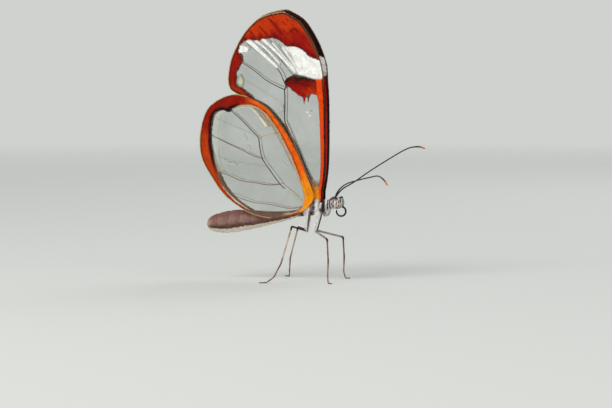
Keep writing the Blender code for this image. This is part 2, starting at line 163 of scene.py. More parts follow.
# Body: (x, centre z, half height, half width) from the tail to the face.
BODY_SECTIONS = [
    (-16.2, 8.42, 0.3, 0.24), (-16.0, 8.42, 0.7, 0.52), (-15.6, 8.44, 1.02, 0.74), (-14.9, 8.49, 1.28, 0.9),
    (-14.0, 8.57, 1.47, 1.02), (-12.6, 8.74, 1.61, 1.12), (-11.0, 8.94, 1.57, 1.1), (-8.6, 9.14, 1.31, 0.98),
    (-6.3, 9.39, 0.97, 0.8), (-3.9, 9.72, 0.69, 0.62), (-2.4, 10.05, 0.55, 0.5), (-1.7, 10.28, 0.52, 0.47),
    (-1.1, 10.6, 0.76, 0.74), (-0.3, 10.95, 1.02, 1.06), (0.7, 11.12, 1.12, 1.18), (1.7, 11.17, 1.08, 1.08),
    (2.4, 11.3, 0.9, 0.84), (2.8, 11.5, 0.76, 0.62), (3.05, 11.62, 0.7, 0.54), (3.35, 11.76, 0.76, 0.56),
    (3.7, 11.83, 0.86, 0.62), (4.1, 11.86, 0.9, 0.6), (4.5, 11.84, 0.86, 0.54), (4.75, 11.8, 0.7, 0.42),
    (4.88, 11.76, 0.42, 0.26), (4.92, 11.74, 0.16, 0.12),
]
ABDOMEN_FRONT = -1.65
ABDOMEN_REAR = -16.0
ABDOMEN_SEGMENTS = 8
HEAD_REAR = 2.72
SEGMENT_GROOVE = 0.03
BODY_STEP = 0.1
BODY_SIDES = 40
SKIN_VOXEL = 0.065
NECK_STRIPES = (2.86, 3.22)

# Long coxae that hang from the thorax, as ((x, out, z) at the top, at the bottom) and the radii there.
COXAE = {
    "hind": (((-0.15, 0.36, 11.5), (-0.4, 0.66, 7.5)), (0.6, 0.22)),
    "mid": (((1.66, 0.38, 11.5), (0.98, 0.7, 7.5)), (0.7, 0.25)),
}
# The left coxae stand this much further back.
COXA_BACK = {LEFT: 0.25, RIGHT: 0.0}
COXA_TAPER = 1.15
# The turn from straight ahead, in degrees outward, of the dark stripe down a hind and a middle coxa.
STRIPE_TURNS = (34, 2)
# Lumps at the wings' roots and the collar, as (x, out, z) and radii.
BODY_LUMPS = [
    ((1.25, 0.78, 12.0), (0.6, 0.26, 0.42)),
    ((0.1, 0.74, 11.3), (0.6, 0.26, 0.46)),
    ((2.6, 0.3, 12.0), (0.24, 0.28, 0.3)),
]


def srgb(red, green, blue):
    """A screen colour, 0 to 255, as the linear light that shaders use."""
    c = np.array([red, green, blue]) / 255
    return np.where(c <= 0.04045, c / 12.92, ((c + 0.055) / 1.055) ** 2.4)


APEX_RED = srgb(156, 18, 5)
APEX_ORANGE = srgb(194, 52, 5)
DEEP_RED = srgb(98, 6, 4)
ORANGE = srgb(240, 98, 4)
FRONT_ORANGE = srgb(234, 74, 3)
DEEP_ORANGE = srgb(150, 56, 6)
COSTAL_RED = srgb(160, 18, 5)
COSTAL_DARK = srgb(74, 12, 8)
BORDER_RED = srgb(148, 20, 5)
BORDER_ORANGE = srgb(178, 56, 6)
BASE_YELLOW = srgb(252, 150, 16)
DARK_BROWN = srgb(44, 20, 12)
BLACK_BROWN = srgb(16, 8, 7)
BORDER_BROWN = srgb(104, 66, 50)
BORDER_MAUVE = srgb(132, 88, 70)
EDGE_BROWN = srgb(112, 66, 40)
MARGIN_BROWN = srgb(66, 24, 14)
FRINGE_TAN = srgb(208, 180, 134)
VEIN_BROWN = srgb(70, 42, 20)
VEIN_DARK = srgb(40, 22, 12)
VEIN_MAUVE = srgb(136, 96, 76)
VEIN_REDDISH = srgb(116, 70, 48)
VEIN_PALE = srgb(196, 176, 140)
VEIN_FAINT = srgb(134, 132, 108)
VEIN_INNER = srgb(176, 181, 172)
SCALE_WHITE = srgb(246, 246, 242)
CREAM = srgb(236, 222, 194)
SPOT_WHITE = srgb(230, 228, 202)
PALE_PINK = srgb(206, 160, 122)
MINT = srgb(196, 204, 188)
VEIL_GREEN = srgb(112, 123, 107)
HAIR_WHITE = srgb(226, 222, 222)
HAIR_GREY = srgb(150, 138, 138)
HAIR_MAUVE = srgb(150, 120, 112)
HAIR_DARK = srgb(52, 24, 18)
HAIR_BLACK = srgb(14, 11, 12)
ABDOMEN_MAUVE = srgb(138, 105, 98)
ABDOMEN_DARK = srgb(84, 56, 48)
ABDOMEN_CREAM = srgb(226, 214, 198)
ABDOMEN_TIP = srgb(190, 162, 144)
ABDOMEN_FORE = srgb(116, 70, 58)
EYE_PALE = srgb(196, 184, 172)
EYE_LIGHT = srgb(226, 218, 208)
EYE_MAUVE = srgb(140, 116, 112)
EYE_DARK = srgb(48, 32, 34)
ANTENNA_TIP = srgb(190, 120, 84)
LEG_EDGE = srgb(36, 26, 24)
LEG_FEMORA = {"hindleg": srgb(74, 56, 48), "midleg": srgb(176, 160, 156)}
LEG_TIBIAE = {"hindleg": srgb(204, 180, 160), "midleg": srgb(142, 102, 76)}
LEG_KNEE = srgb(48, 32, 24)
LEG_FOOT = srgb(138, 106, 80)

# Strokes on the wings, as points (u, v), half width, colour, cover and softness.
FOREWING_STROKES = [
    ([(-10.6, 24.0), (-8.4, 22.1), (-6.0, 20.0)], 0.26, SCALE_WHITE, 0.92, 0.2),
    ([(-8.1, 24.1), (-6.1, 22.3), (-3.1, 19.3)], 0.17, SCALE_WHITE, 0.92, 0.14),
    ([(-9.5, 24.1), (-7.6, 22.6), (-5.6, 20.6)], 0.1, SCALE_WHITE, 0.7, 0.16),
    ([(-6.6, 23.6), (-5.2, 22.0), (-3.2, 19.8)], 0.08, SCALE_WHITE, 0.7, 0.14),
    ([(-5.0, 22.9), (-4.2, 21.8), (-2.6, 19.6)], 0.08, SCALE_WHITE, 0.7, 0.16),
    ([(-12.6, 22.9), (-11.8, 22.7), (-10.9, 22.6)], 0.6, SCALE_WHITE, 0.95, 0.25),
    ([(-5.4, 14.1), (-5.4, 13.1)], 0.06, MINT, 0.6, 0.08),
    ([(-1.14, 13.15), (-1.06, 13.08)], 0.13, SCALE_WHITE, 0.6, 0.1),
    ([(-0.82, 12.7), (-0.74, 12.64)], 0.1, SCALE_WHITE, 0.6, 0.1),
]
HINDWING_STROKES = [
    ([(-6.55, 11.95), (-7.05, 12.6), (-7.5, 13.1)], 0.15, CREAM, 0.92, 0.14),
    ([(-7.3, 12.9), (-7.7, 13.3), (-8.2, 13.95), (-8.9, 14.5)], 0.04, CREAM, 0.8, 0.14),
    ([(-11.7, 14.5), (-10.4, 14.8), (-8.8, 14.8)], 0.3, MINT, 0.42, 0.35),
    ([(-14.3, 13.6), (-13.5, 14.0)], 0.24, MINT, 0.34, 0.3),
    ([(-14.5, 13.2), (-14.7, 11.3), (-14.7, 8.3), (-14.4, 6.3), (-13.9, 5.1)], 0.3, MINT, 0.3, 0.4),
    ([(-10.4, 10.7), (-9.9, 9.7)], 0.03, MINT, 0.42, 0.16),
    ([(-9.9, 9.0), (-9.4, 8.7)], 0.03, MINT, 0.45, 0.14),
    ([(-9.6, 8.6), (-9.3, 8.0)], 0.05, MINT, 0.5, 0.12),
    ([(-13.7, 6.9), (-13.2, 6.5)], 0.03, MINT, 0.55, 0.1),
    ([(-12.9, 6.3), (-12.1, 6.1)], 0.07, MINT, 0.6, 0.1),
    ([(-11.9, 6.05), (-11.5, 5.95)], 0.09, MINT, 0.6, 0.1),
    ([(-4.4, 6.6), (-3.6, 5.7)], 0.03, MINT, 0.45, 0.1),
]

# Veins, as points (u, v), radii at the two ends and colour.
FOREWING_VEINS = [
    ([(0.85, 0.0), (1.0, 1.4), (1.38, 4.0), (1.56, 7.4), (1.57, 14.2), (1.42, 17.5)],
     (0.09, 0.07), BLACK_BROWN),
    ([(1.45, 17.0), (1.28, 19.6), (0.62, 21.9), (-0.5, 24.3), (-2.05, 26.5), (-3.85, 27.7), (-5.2, 28.1)],
     (0.07, 0.05), EDGE_BROWN),
    ([(0.7, 0.0), (0.85, 1.6), (1.1, 4.2), (1.2, 7.4), (1.16, 14.0), (0.6, 19.6), (-0.2, 22.4), (-2.4, 25.6),
      (-4.9, 27.8)], (0.08, 0.04), DEEP_ORANGE),
    ([(0.35, 0.0), (0.6, 2.0), (0.8, 4.4), (0.92, 7.4), (0.8, 13.6), (0.2, 16.6)],
     (0.06, 0.045), DEEP_ORANGE),
    ([(0.1, 0.0), (-0.46, 1.95), (-1.7, 4.5), (-2.95, 7.5), (-4.22, 10.4), (-4.65, 11.4)],
     (0.14, 0.11), VEIN_MAUVE),
    ([(-4.2, 10.35), (-4.85, 11.9), (-4.8, 14.0), (-4.78, 15.6), (-4.82, 16.6)], (0.085, 0.085), VEIN_DARK),
    ([(-4.82, 16.6), (-4.6, 16.95), (-4.3, 17.25)], (0.1, 0.09), VEIN_DARK),
    ([(-4.82, 16.6), (-6.2, 17.2), (-7.8, 18.05), (-9.25, 19.15), (-10.85, 20.2), (-13.3, 21.6)],
     (0.075, 0.045), VEIN_BROWN),
    ([(-4.6, 17.1), (-5.4, 19.0), (-6.2, 20.0), (-7.45, 21.0), (-9.5, 22.6), (-11.7, 24.3)],
     (0.07, 0.05), VEIN_BROWN),
    ([(-2.6, 18.2), (-3.75, 19.2), (-5.97, 21.9), (-8.05, 24.1), (-9.7, 26.4)], (0.06, 0.05), VEIN_BROWN),
    ([(-1.4, 18.4), (-3.2, 22.2), (-5.1, 25.0), (-7.0, 27.0), (-7.4, 27.7)], (0.05, 0.07), VEIN_DARK),
    ([(-0.5, 18.2), (-1.4, 21.2), (-3.0, 24.6), (-5.6, 27.9)], (0.05, 0.045), VEIN_BROWN),
    ([(-4.7, 11.6), (-8.2, 14.4), (-13.1, 17.5)], (0.016, 0.013), VEIN_FAINT),
    ([(-4.83, 14.3), (-8.4, 16.4), (-13.5, 19.2)], (0.016, 0.013), VEIN_FAINT),
]
HINDWING_VEINS = [
    ([(0.3, 0.6), (-0.9, 4.6), (-2.9, 8.8), (-5.0, 12.0), (-8.4, 15.4), (-13.0, 16.3)],
     (0.1, 0.045), DEEP_ORANGE),
    ([(0.0, 0.1), (-0.85, 0.45), (-2.4, 1.6), (-3.5, 2.45)], (0.08, 0.07), VEIN_PALE),
    ([(-3.4, 2.38), (-4.27, 3.15), (-5.8, 5.1), (-7.04, 6.8), (-7.5, 8.3), (-7.77, 10.1)],
     (0.065, 0.075), VEIN_BROWN),
    ([(-7.77, 10.0), (-7.95, 10.3), (-9.0, 11.3), (-10.4, 12.65), (-12.4, 14.4), (-13.0, 15.4)],
     (0.075, 0.055), VEIN_BROWN),
    ([(-7.77, 10.1), (-7.0, 10.4), (-5.7, 10.65), (-4.3, 10.6)], (0.05, 0.06), VEIN_PALE),
    ([(-7.1, 6.9), (-8.9, 7.5), (-10.5, 8.25), (-12.8, 9.2), (-16.8, 11.0)], (0.06, 0.055), VEIN_REDDISH),
    ([(-7.9, 10.3), (-11.6, 11.7), (-16.4, 13.7)], (0.016, 0.013), VEIN_FAINT),
    ([(-4.2, 3.1), (-6.15, 3.0), (-8.2, 3.3), (-10.5, 3.6), (-12.4, 4.35), (-15.1, 5.2)], (0.06, 0.055),
     VEIN_REDDISH),
    ([(-6.4, 5.8), (-10.4, 6.3), (-16.8, 7.7)], (0.016, 0.013), VEIN_FAINT),
    ([(0.0, -0.2), (-2.8, -0.5), (-5.9, 0.05), (-9.0, 0.45), (-12.4, 1.6)], (0.05, 0.04), VEIN_REDDISH),
]

# Strokes on the thorax and head seen from the side, as points (x, z), half width and colour.
THORAX_STROKES = [
    ([(1.5, 9.6), (1.45, 10.6), (1.3, 11.3), (1.45, 12.2)], 0.42, SCALE_WHITE),
    ([(-0.3, 9.6), (-0.25, 10.5), (0.1, 11.0)], 0.5, SCALE_WHITE),
    ([(0.75, 11.7), (0.85, 11.0), (0.8, 10.2)], 0.24, HAIR_MAUVE),
    ([(1.0, 11.3), (1.02, 11.1)], 0.12, HAIR_DARK),
    ([(0.5, 10.5), (0.45, 9.9), (0.4, 9.4)], 0.16, HAIR_DARK),
    ([(-1.2, 10.5), (-0.95, 10.0)], 0.16, HAIR_DARK),
    ([(2.05, 12.6), (2.0, 11.9), (1.9, 11.3)], 0.17, SCALE_WHITE),
    ([(2.1, 10.75), (2.08, 10.4), (2.0, 9.9)], 0.14, HAIR_BLACK),
    ([(2.4, 12.3), (2.38, 11.4), (2.3, 10.3)], 0.28, HAIR_DARK),
    ([(2.8, 12.6), (2.75, 12.1), (2.75, 11.0), (2.6, 10.2)], 0.13, SCALE_WHITE),
]
HEAD_STROKES = [
    ([(3.22, 12.5), (3.3, 12.4)], 0.08, HAIR_BLACK),
    ([(4.1, 12.8), (4.4, 12.62), (4.75, 12.2)], 0.18, HAIR_BLACK),
    ([(4.2, 12.78), (4.42, 12.58), (4.66, 12.3)], 0.07, SCALE_WHITE),
]

# Distances between the roots of scales and hair, and the hairs' length, width and rise, by region.
COAT_GAPS = {"thorax": 0.074, "abdomen": 0.088, "coxa": 0.062, "head": 0.048}
HAIR_SIZES = {
    "thorax": (0.34, 0.048, 0.1),
    "coxa": (0.28, 0.042, 0.05),
    "head": (0.16, 0.032, 0.05),
    "crown": (0.2, 0.034, 0.1),
}

# Eyes, with the places and size of their painted dark spots of shade as shares of the radius, forward and up.
EYE_CENTRE = (4.2, 0.5, 11.68)
EYE_RADII = (0.75, 0.64, 0.7)
EYE_MESH = (120, 80)
EYE_SPOTS = [(-0.54, 0.5), (-0.62, -0.38), (0.04, 0.14), (0.52, 0.42), (0.54, -0.4), (0.2, -0.8),
             (-0.88, 0.1)]
EYE_SPOT_RADII = (0.15, 0.27)
# Mauve streaks stand this far forward and light ones a step ahead of each, round the way out to the camera.
EYE_STREAKS = (-0.58, 0.03, 0.52)
EYE_STREAK_STEP = 0.27
EYE_FACING = (0.28, 0.96, 0.04)

# Feelers and limbs, as points (x, out, z) and radii.
PALP_PATH = [(4.72, 0.3, 11.3), (4.93, 0.34, 11.22), (5.06, 0.36, 11.55), (5.07, 0.36, 12.1),
             (4.92, 0.34, 12.74)]
PALP_RADII = [0.08, 0.12, 0.145, 0.12, 0.05]
PROBOSCIS_TOP = (4.6, 0, 11.5)
PROBOSCIS_ROOT = (4.95, 0, 11.3)
# The tongue's radius at its root, how much it thins and is ringed, and shares of its radius at the very end.
PROBOSCIS_RADIUS = 0.145
PROBOSCIS_THINNING = 0.03
PROBOSCIS_RING = 0.008
PROBOSCIS_RINGS = 90
PROBOSCIS_END = (0.9, 0.75, 0.55, 0.3)
COIL_CENTRE = (4.88, 10.57)
COIL_RADIUS = 0.72
# The coil's first and last turn from straight ahead, in degrees.
COIL_TURNS = (58, -196)
ANTENNA_ROOT = (4.2, 0.36, 13.08)
ANTENNA_RISE = {
    LEFT: [(0.0, 0.0), (0.9, 0.9), (2.6, 1.85), (5.1, 3.5), (8.1, 5.3), (10.9, 6.8), (12.7, 7.1),
           (13.8, 6.8)],
    RIGHT: [(0.0, 0.0), (1.0, 0.9), (2.9, 1.75), (6.0, 2.4), (9.0, 2.9), (11.3, 3.2), (12.9, 2.7),
            (13.9, 1.9)],
}
ANTENNA_SPREAD = {LEFT: math.radians(30), RIGHT: math.radians(42)}
ANTENNA_SEGMENTS = 45
# Radii of an antenna at its root and beyond it, then by how much it thins, thickens at its tip and is ringed.
ANTENNA_ROOT_RADII = (0.16, 0.19, 0.17)
ANTENNA_RADIUS = 0.105
ANTENNA_THINNING = 0.02
ANTENNA_CLUB = 0.05
ANTENNA_RING = 0.012
FORELEG_PATH = [(2.25, 0.5, 10.3), (2.5, 0.56, 9.95), (2.85, 0.54, 10.2), (3.1, 0.48, 10.8)]
FORELEG_RADII = [0.15, 0.12, 0.1, 0.05]
# Legs from the end of the coxa: knee, ankle and three places along the foot.
HIND_LEG_PATHS = {
    RIGHT: [(-0.4, 0.68, 7.6), (-1.95, 3.1, 8.35), (-3.0, 5.3, 2.9), (-3.9, 6.0, 0.9), (-4.9, 6.5, 0.1),
            (-5.75, 6.85, 0.08)],
    LEFT: [(-0.65, 0.68, 7.6), (-2.7, 2.9, 7.9), (-4.6, 5.1, 3.0), (-4.95, 5.9, 0.9), (-5.1, 6.4, 0.1),
           (-5.8, 6.85, 0.08)],
}
MID_LEG_PATHS = {
    RIGHT: [(0.98, 0.72, 7.6), (3.5, 2.9, 6.5), (4.0, 4.1, 3.4), (4.1, 4.75, 1.1), (4.25, 5.05, 0.1),
            (4.75, 5.35, 0.08)],
    LEFT: [(0.73, 0.72, 7.6), (4.4, 2.9, 6.5), (4.25, 4.1, 3.4), (4.0, 4.75, 1.1), (4.2, 5.05, 0.1),
           (4.7, 5.35, 0.08)],
}
LEG_BEND = 0.22
LEG_STAGES = [0.0, 0.3, 0.75, 1.0, 1.15, 1.7, 2.0, 2.3, 3.5, 5.0]
LEG_RADII = [0.13, 0.13, 0.12, 0.14, 0.108, 0.1, 0.11, 0.085, 0.075, 0.068]
LEG_SCALE_GAP = 0.06
CLAW_REACH = 0.2
CLAW_SPREAD = 0.12
CLAW_RADII = (0.045, 0.014)
# The foot has so many joints, each this much thicker than the stretches between them.
FOOT_JOINTS = 5
KNUCKLE = 0.022
# Steps along the middle lines of the feelers and limbs.
ANTENNA_STEP = 0.055
PROBOSCIS_STEP = 0.03
PALP_STEP = 0.04
FORELEG_STEP = 0.05
LEG_STEP = 0.06
CLAW_STEP = 0.03

# Length, width and rise of the abdomen's scales and of the scales and hair of feelers and legs, with the
# gaps between the roots of the last ones.
ABDOMEN_SCALE = (0.24, 0.13, 0.035)
LEG_SCALE = (0.15, 0.05, 0.018)
PALP_HAIR = (0.15, 0.03, 0.035)
PALP_HAIR_GAP = 0.045
FORELEG_HAIR = (0.24, 0.028, 0.05)
FORELEG_HAIR_GAP = 0.055

# The corners of one scale and one tuft, as shares of its length ahead, of its width across and of its rise,
# then its thickness and its painted shade: darker where it is sunk at the root, lighter at the raised tip.
# A scale's thickness is in millimetres, a tuft's a share of its width.
PLATE_CORNERS = np.array([
    (0.0, 0.3, -0.5, 0.0, 0.8), (0.0, -0.3, -0.5, 0.0, 0.8), (0.62, -0.5, 0.55, 0.0, 1.0),
    (1.0, 0.0, 1.0, 0.0, 1.08), (0.62, 0.5, 0.55, 0.0, 1.0), (0.5, 0.0, 0.5, SCALE_THICK, 1.0),
])
PLATE_FACES = np.array([[5, 0, 1], [5, 1, 2], [5, 2, 3], [5, 3, 4], [5, 4, 0],
                        [0, 2, 1], [0, 3, 2], [0, 4, 3]])
TUFT_CORNERS = np.array([
    (-0.05, 0.5, -0.35, 0.0, 0.6), (-0.05, -0.5, -0.35, 0.0, 0.6), (0.1, 0.0, -0.35, 0.5, 0.6),
    (0.42, 0.42, 0.62, 0.0, 0.95), (0.42, -0.42, 0.62, 0.0, 0.95), (0.52, 0.0, 0.62, 0.5, 1.0),
    (1.0, 0.0, 1.0, 0.0, 1.12),
])
TUFT_FACES = np.array([[0, 2, 1], [0, 1, 4], [0, 4, 3], [1, 2, 5], [1, 5, 4], [2, 0, 3], [2, 3, 5],
                       [3, 4, 6], [4, 5, 6], [5, 3, 6]])

# The colours of the wings' two faces, how well a hindwing's border covers, and the stripes of the front edge
# as (reach, colour). What shows on outer faces alone is given for them alone.
OUTER_FACE = {
    "red": APEX_RED, "bright": APEX_ORANGE, "deep": DEEP_RED, "stripe": ORANGE, "low": DEEP_ORANGE,
    "front": FRONT_ORANGE, "border": BORDER_ORANGE, "border_top": BORDER_RED, "base": BASE_YELLOW,
    "edge": EDGE_BROWN, "line": BLACK_BROWN, "border_cover": 1.0, "inner_cover": 0.5, "band_rise": 0.0,
    "costa": [(0.26, COSTAL_DARK), (0.13, BLACK_BROWN)],
}
INNER_FACE = {
    "red": DARK_BROWN, "bright": DARK_BROWN, "deep": BLACK_BROWN, "stripe": DARK_BROWN,
    "front": DARK_BROWN, "border": BORDER_MAUVE, "border_top": BORDER_MAUVE, "base": DEEP_ORANGE,
    "edge": BLACK_BROWN, "border_cover": 0.7, "inner_cover": 0.12, "band_rise": INNER_BAND_RISE,
    "costa": [(0.72, COSTAL_RED), (0.34, BLACK_BROWN)],
}
# Dark streaks in the tip's red patch, as points (u, v) and half width.
APEX_STREAKS = [
    ([(-7.1, 27.2), (-6.0, 26.1), (-5.0, 24.9)], 0.1),
    ([(-8.7, 26.1), (-8.0, 25.4), (-7.5, 24.8)], 0.08),
    ([(-3.9, 25.2), (-3.2, 25.7), (-2.4, 25.3)], 0.1),
    ([(-10.2, 25.4), (-9.5, 24.6)], 0.06),
]

# How much the clear membrane hides, and by how much that varies.
VEIL = 0.105
VEIL_CHANGE = 0.03
# Surfaces: name, roughness, mottling as (size, darkest, lightest), relief as (size, depth), specular, sheen.
SURFACES = {
    "scales": ("wing_scales", 0.75, (0.5, 0.85, 1.15), (0.05, 0.01), 0.08, 0.0),
    "hide": ("hide", 0.7, (0.4, 0.8, 1.15), (0.06, 0.015), 0.25, 0.0),
    "hair": ("hair", 0.55, (0.3, 0.88, 1.12), (0.04, 0.004), 0.35, 0.2),
    "eye": ("eye", 0.14, (0.2, 0.85, 1.12), (0.04, 0.004), 0.6, 0.0),
    "chitin": ("chitin", 0.42, (0.3, 0.75, 1.25), (0.06, 0.008), 0.25, 0.0),
    "leg": ("leg", 0.5, (0.3, 0.8, 1.2), (0.05, 0.01), 0.4, 0.0),
    "vein": ("wing_veins", 0.5, (0.4, 0.8, 1.2), (0.08, 0.01), 0.25, 0.0),
}

# Stage, in metres. Lights are given as name, place, size, power in watts and tint.
FLOOR_GREY = srgb(198, 200, 198)
FLOOR_RADIUS = 0.7
BACKDROP = srgb(226, 229, 226)
BACKDROP_STRENGTH = 0.82
LIT_POINT = (0.0, 0.0, 0.018)
LIGHTS = [
    ("key", (-0.16, -0.3, 0.34), 0.22, 1.25, (1.0, 0.98, 0.95)),
    ("fill", (0.36, -0.22, 0.12), 0.3, 0.3, (1.0, 1.0, 1.0)),
    ("back", (0.1, 0.34, 0.3), 0.25, 0.5, (1.0, 1.0, 1.0)),
]
# A ray may pass through every wing, scale and vein on its way.
TRANSPARENT_LAYERS = 32

# Random values: the seeds of the grain and of the wings' and the body's coats.
GRAIN_SEED = 7
WING_SEED = 21
BODY_SEED = 5
GRAIN_CELLS = 32
GRAIN_TABLE = np.random.default_rng(GRAIN_SEED).uniform(-1, 1, (GRAIN_CELLS,) * 3)
# So many places are tried on the skin for each one that is wanted.
SPREAD_TRIES = 4


def shift_of_body():
    """The place of the body's own origin in the frame, in millimetres."""
    low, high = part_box("thorax")
    return np.array([low.x / MM - THORAX_REAR, (low.y + high.y) / 2 / MM, 0.0])


SHIFT = shift_of_body()


def in_frame(points):
    """Millimetres on the body's axes as metres in the frame."""
    return (np.asarray(points, dtype=float) + SHIFT) * MM


# Small mathematics


def ramp(value, low, high):
    """0 below low, 1 above high and smooth between them."""
    t = np.clip((value - low) / (high - low), 0, 1)
    return t * t * (3 - 2 * t)


def unit(vectors):
    return vectors / np.maximum(np.linalg.norm(vectors, axis=-1, keepdims=True), 1e-9)


def between(low, high, share):
    """Rows that go from low to high with the share."""
    return low + np.asarray(share)[:, None] * (high - low)


def along_surface(ways, normals):
    """Directions turned to lie along the surface that has these normals."""
    return unit(ways - normals * np.sum(ways * normals, axis=1, keepdims=True))


def outward(path, side):
    """Points given as (x, distance out, z) set on one side."""
    return np.array(path, dtype=float) * (1, side, 1)


def smooth_path(points, step, closed=False):
    """Points about a step apart along a smooth curve through the given ones."""
    points = np.array(points, dtype=float)
    if closed:
        ring = np.vstack([points[-1:], points, points[:2]])
    else:
        ring = np.vstack([2 * points[0] - points[1], points, 2 * points[-1] - points[-2]])
    path = []
    for before, start, end, after in zip(ring, ring[1:], ring[2:], ring[3:]):
        pieces = max(1, round(np.linalg.norm(end - start) / step))
        t = np.arange(pieces)[:, None] / pieces
        bend = 2 * before - 5 * start + 4 * end - after
        twist = 3 * start - before - 3 * end + after
        path.append(0.5 * (2 * start + (end - before) * t + bend * t ** 2 + twist * t ** 3))
    if not closed:
        path.append(points[-1:])
    return np.vstack(path)


def distance(points, path):
    """The distance from each point to a path, and the share of the path up to its nearest place."""
    best = np.full(len(points), 1e9)
    share = np.zeros(len(points))
    for i, (start, along) in enumerate(zip(path, np.diff(path, axis=0))):
        t = np.clip((points - start) @ along / (along @ along), 0, 1)
        gap = np.linalg.norm(points - start - t[:, None] * along, axis=1)
        closer = gap < best
        best[closer] = gap[closer]
        share[closer] = (i + t[closer]) / (len(path) - 1)
    return best, share


def closed(path):
    return np.vstack([path, path[:1]])


def depth_inside(points, outline):
    """The distance of flat points from a closed outline, negative outside it."""
    inside = np.zeros(len(points), dtype=bool)
    x, y = points.T
    for (ax, ay), (bx, by) in zip(outline, np.roll(outline, -1, axis=0)):
        if ay == by:
            continue
        crosses = (ay > y) != (by > y)
        inside ^= crosses & (ax + (y - ay) * (bx - ax) / (by - ay) > x)
    return distance(points, closed(outline))[0] * np.where(inside, 1, -1)


def grain(points, size, layer=0):
    """Smooth random values from -1 to 1 that change over about the given size."""
    points = np.asarray(points, dtype=float)
    if points.shape[1] == 2:
        points = np.column_stack([points, np.full(len(points), 0.5 * size)])
    p = points / size + 11.3 * layer
    cell = np.floor(p).astype(int)
    f = p - cell
    f = f * f * (3 - 2 * f)
    total = np.zeros(len(p))
    for corner in np.ndindex(2, 2, 2):
        weight = np.prod(np.where(corner, f, 1 - f), axis=1)
        total += weight * GRAIN_TABLE[tuple(((cell + corner) % GRAIN_CELLS).T)]
    return total


# Meshes from arrays


def new_piece(name, points, faces, material, colours, cover=None, uvs=None, smooth=True):
    """A piece of the model from points in millimetres and a list of arrays of triangles or quads."""
    mesh = bpy.data.meshes.new(name)
    mesh.vertices.add(len(points))
    mesh.vertices.foreach_set("co", in_frame(points).astype(np.float32).ravel())
    corners = np.concatenate([f.ravel() for f in faces])
    counts = np.concatenate([np.full(len(f), f.shape[1]) for f in faces])
    mesh.loops.add(len(corners))
    mesh.loops.foreach_set("vertex_index", corners.astype(np.int32))
    mesh.polygons.add(len(counts))
    mesh.polygons.foreach_set("loop_start", (np.cumsum(counts) - counts).astype(np.int32))
    mesh.polygons.foreach_set("use_smooth", np.full(len(counts), smooth))
    attribute = mesh.attributes.new("Colour", "FLOAT_COLOR", "POINT")
    rgba = np.column_stack([np.clip(colours, 0, 1), np.ones(len(points))])
    attribute.data.foreach_set("color", rgba.astype(np.float32).ravel())
    if cover is not None:
        attribute = mesh.attributes.new("Cover", "FLOAT", "POINT")
        attribute.data.foreach_set("value", cover.astype(np.float32))
    if uvs is not None:
        layer = mesh.uv_layers.new(name="OFBake")
        layer.uv.foreach_set("vector", uvs[corners].astype(np.float32).ravel())
    mesh.update(calc_edges=True)
    mesh.validate()
    mesh.materials.append(material)
    piece = bpy.data.objects.new(name, mesh)
    bpy.context.scene.collection.objects.link(piece)
    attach(piece, "root")
    return piece


class Parts:
    """Points, faces and colours of several closed forms that make one piece."""

    def __init__(self):
        self.points, self.triangles, self.quads, self.colours, self.count = [], [], [], [], 0

    def add(self, points, triangles, quads, colours):
        self.points.append(points)
        self.triangles.append(triangles + self.count)
        self.quads.append(quads + self.count)
        self.colours.append(np.broadcast_to(colours, (len(points), 3)))
        self.count += len(points)

    def piece(self, name, material, slot):
        faces = [np.vstack(self.triangles), np.vstack(self.quads)]
        return new_piece(name, np.vstack(self.points), faces, material, np.vstack(self.colours))


def ring_form(rings, ends=None):
    """Points, triangles and quads of the closed form through rings of points, with a point at each end."""
    count, sides = rings.shape[:2]
    if ends is None:
        ends = rings[0].mean(0), rings[-1].mean(0)
    points = np.vstack([rings.reshape(-1, 3), *ends])
    k = np.arange(sides)
    nxt = (k + 1) % sides
    strip = np.column_stack([k, nxt, sides + nxt, sides + k])
    quads = np.vstack([strip + i * sides for i in range(count - 1)])
    start, end = count * sides, count * sides + 1
    last = (count - 1) * sides
    caps = np.vstack([np.column_stack([np.full(sides, start), nxt, k]),
                      np.column_stack([np.full(sides, end), last + k, last + nxt])])
    return points, caps, quads


def ball(centre, radii, segments=24, rings=16):
    """A closed ellipsoid with its poles above and below."""
    tilt = np.pi * (np.arange(rings) + 0.5) / rings
    turn = 2 * np.pi * np.arange(segments) / segments
    spots = np.stack([np.sin(tilt)[:, None] * np.cos(turn), np.sin(tilt)[:, None] * np.sin(turn),
                      np.broadcast_to(np.cos(tilt)[:, None], (rings, segments))], axis=2)
    return ring_form(np.asarray(centre) + spots * np.asarray(radii))


def frames_along(ahead, aside):
    """Directions across and above a path at each of its points, turned as little as possible."""
    across = unit(np.cross(ahead[0], aside))
    frames = []
    for forward in ahead:
        across = unit(across - forward * (across @ forward))
        frames.append((across, np.cross(forward, across)))
    return frames


def tube(path, radii, sides=10, flat=1.0):
    """Points, triangles and quads of a closed tube along a path, narrower across by the share flat."""
    radii = np.broadcast_to(radii, len(path))
    ahead = unit(np.gradient(path, axis=0))
    aside = (0.0, 0.31, 0.95) if abs(ahead[0][0]) > 0.5 else (0.95, 0.31, 0.0)
    angles = 2 * np.pi * np.arange(sides) / sides
    rings = [place + radius * (np.cos(angles)[:, None] * across * flat + np.sin(angles)[:, None] * up)
             for place, radius, (across, up) in zip(path, radii, frames_along(ahead, aside))]
    return ring_form(np.array(rings), (path[0], path[-1]))


def on_rings(values, sides):
    """Values given for each ring of a tube, for each of its points."""
    return np.vstack([np.repeat(values, sides, axis=0), values[:1], values[-1:]])


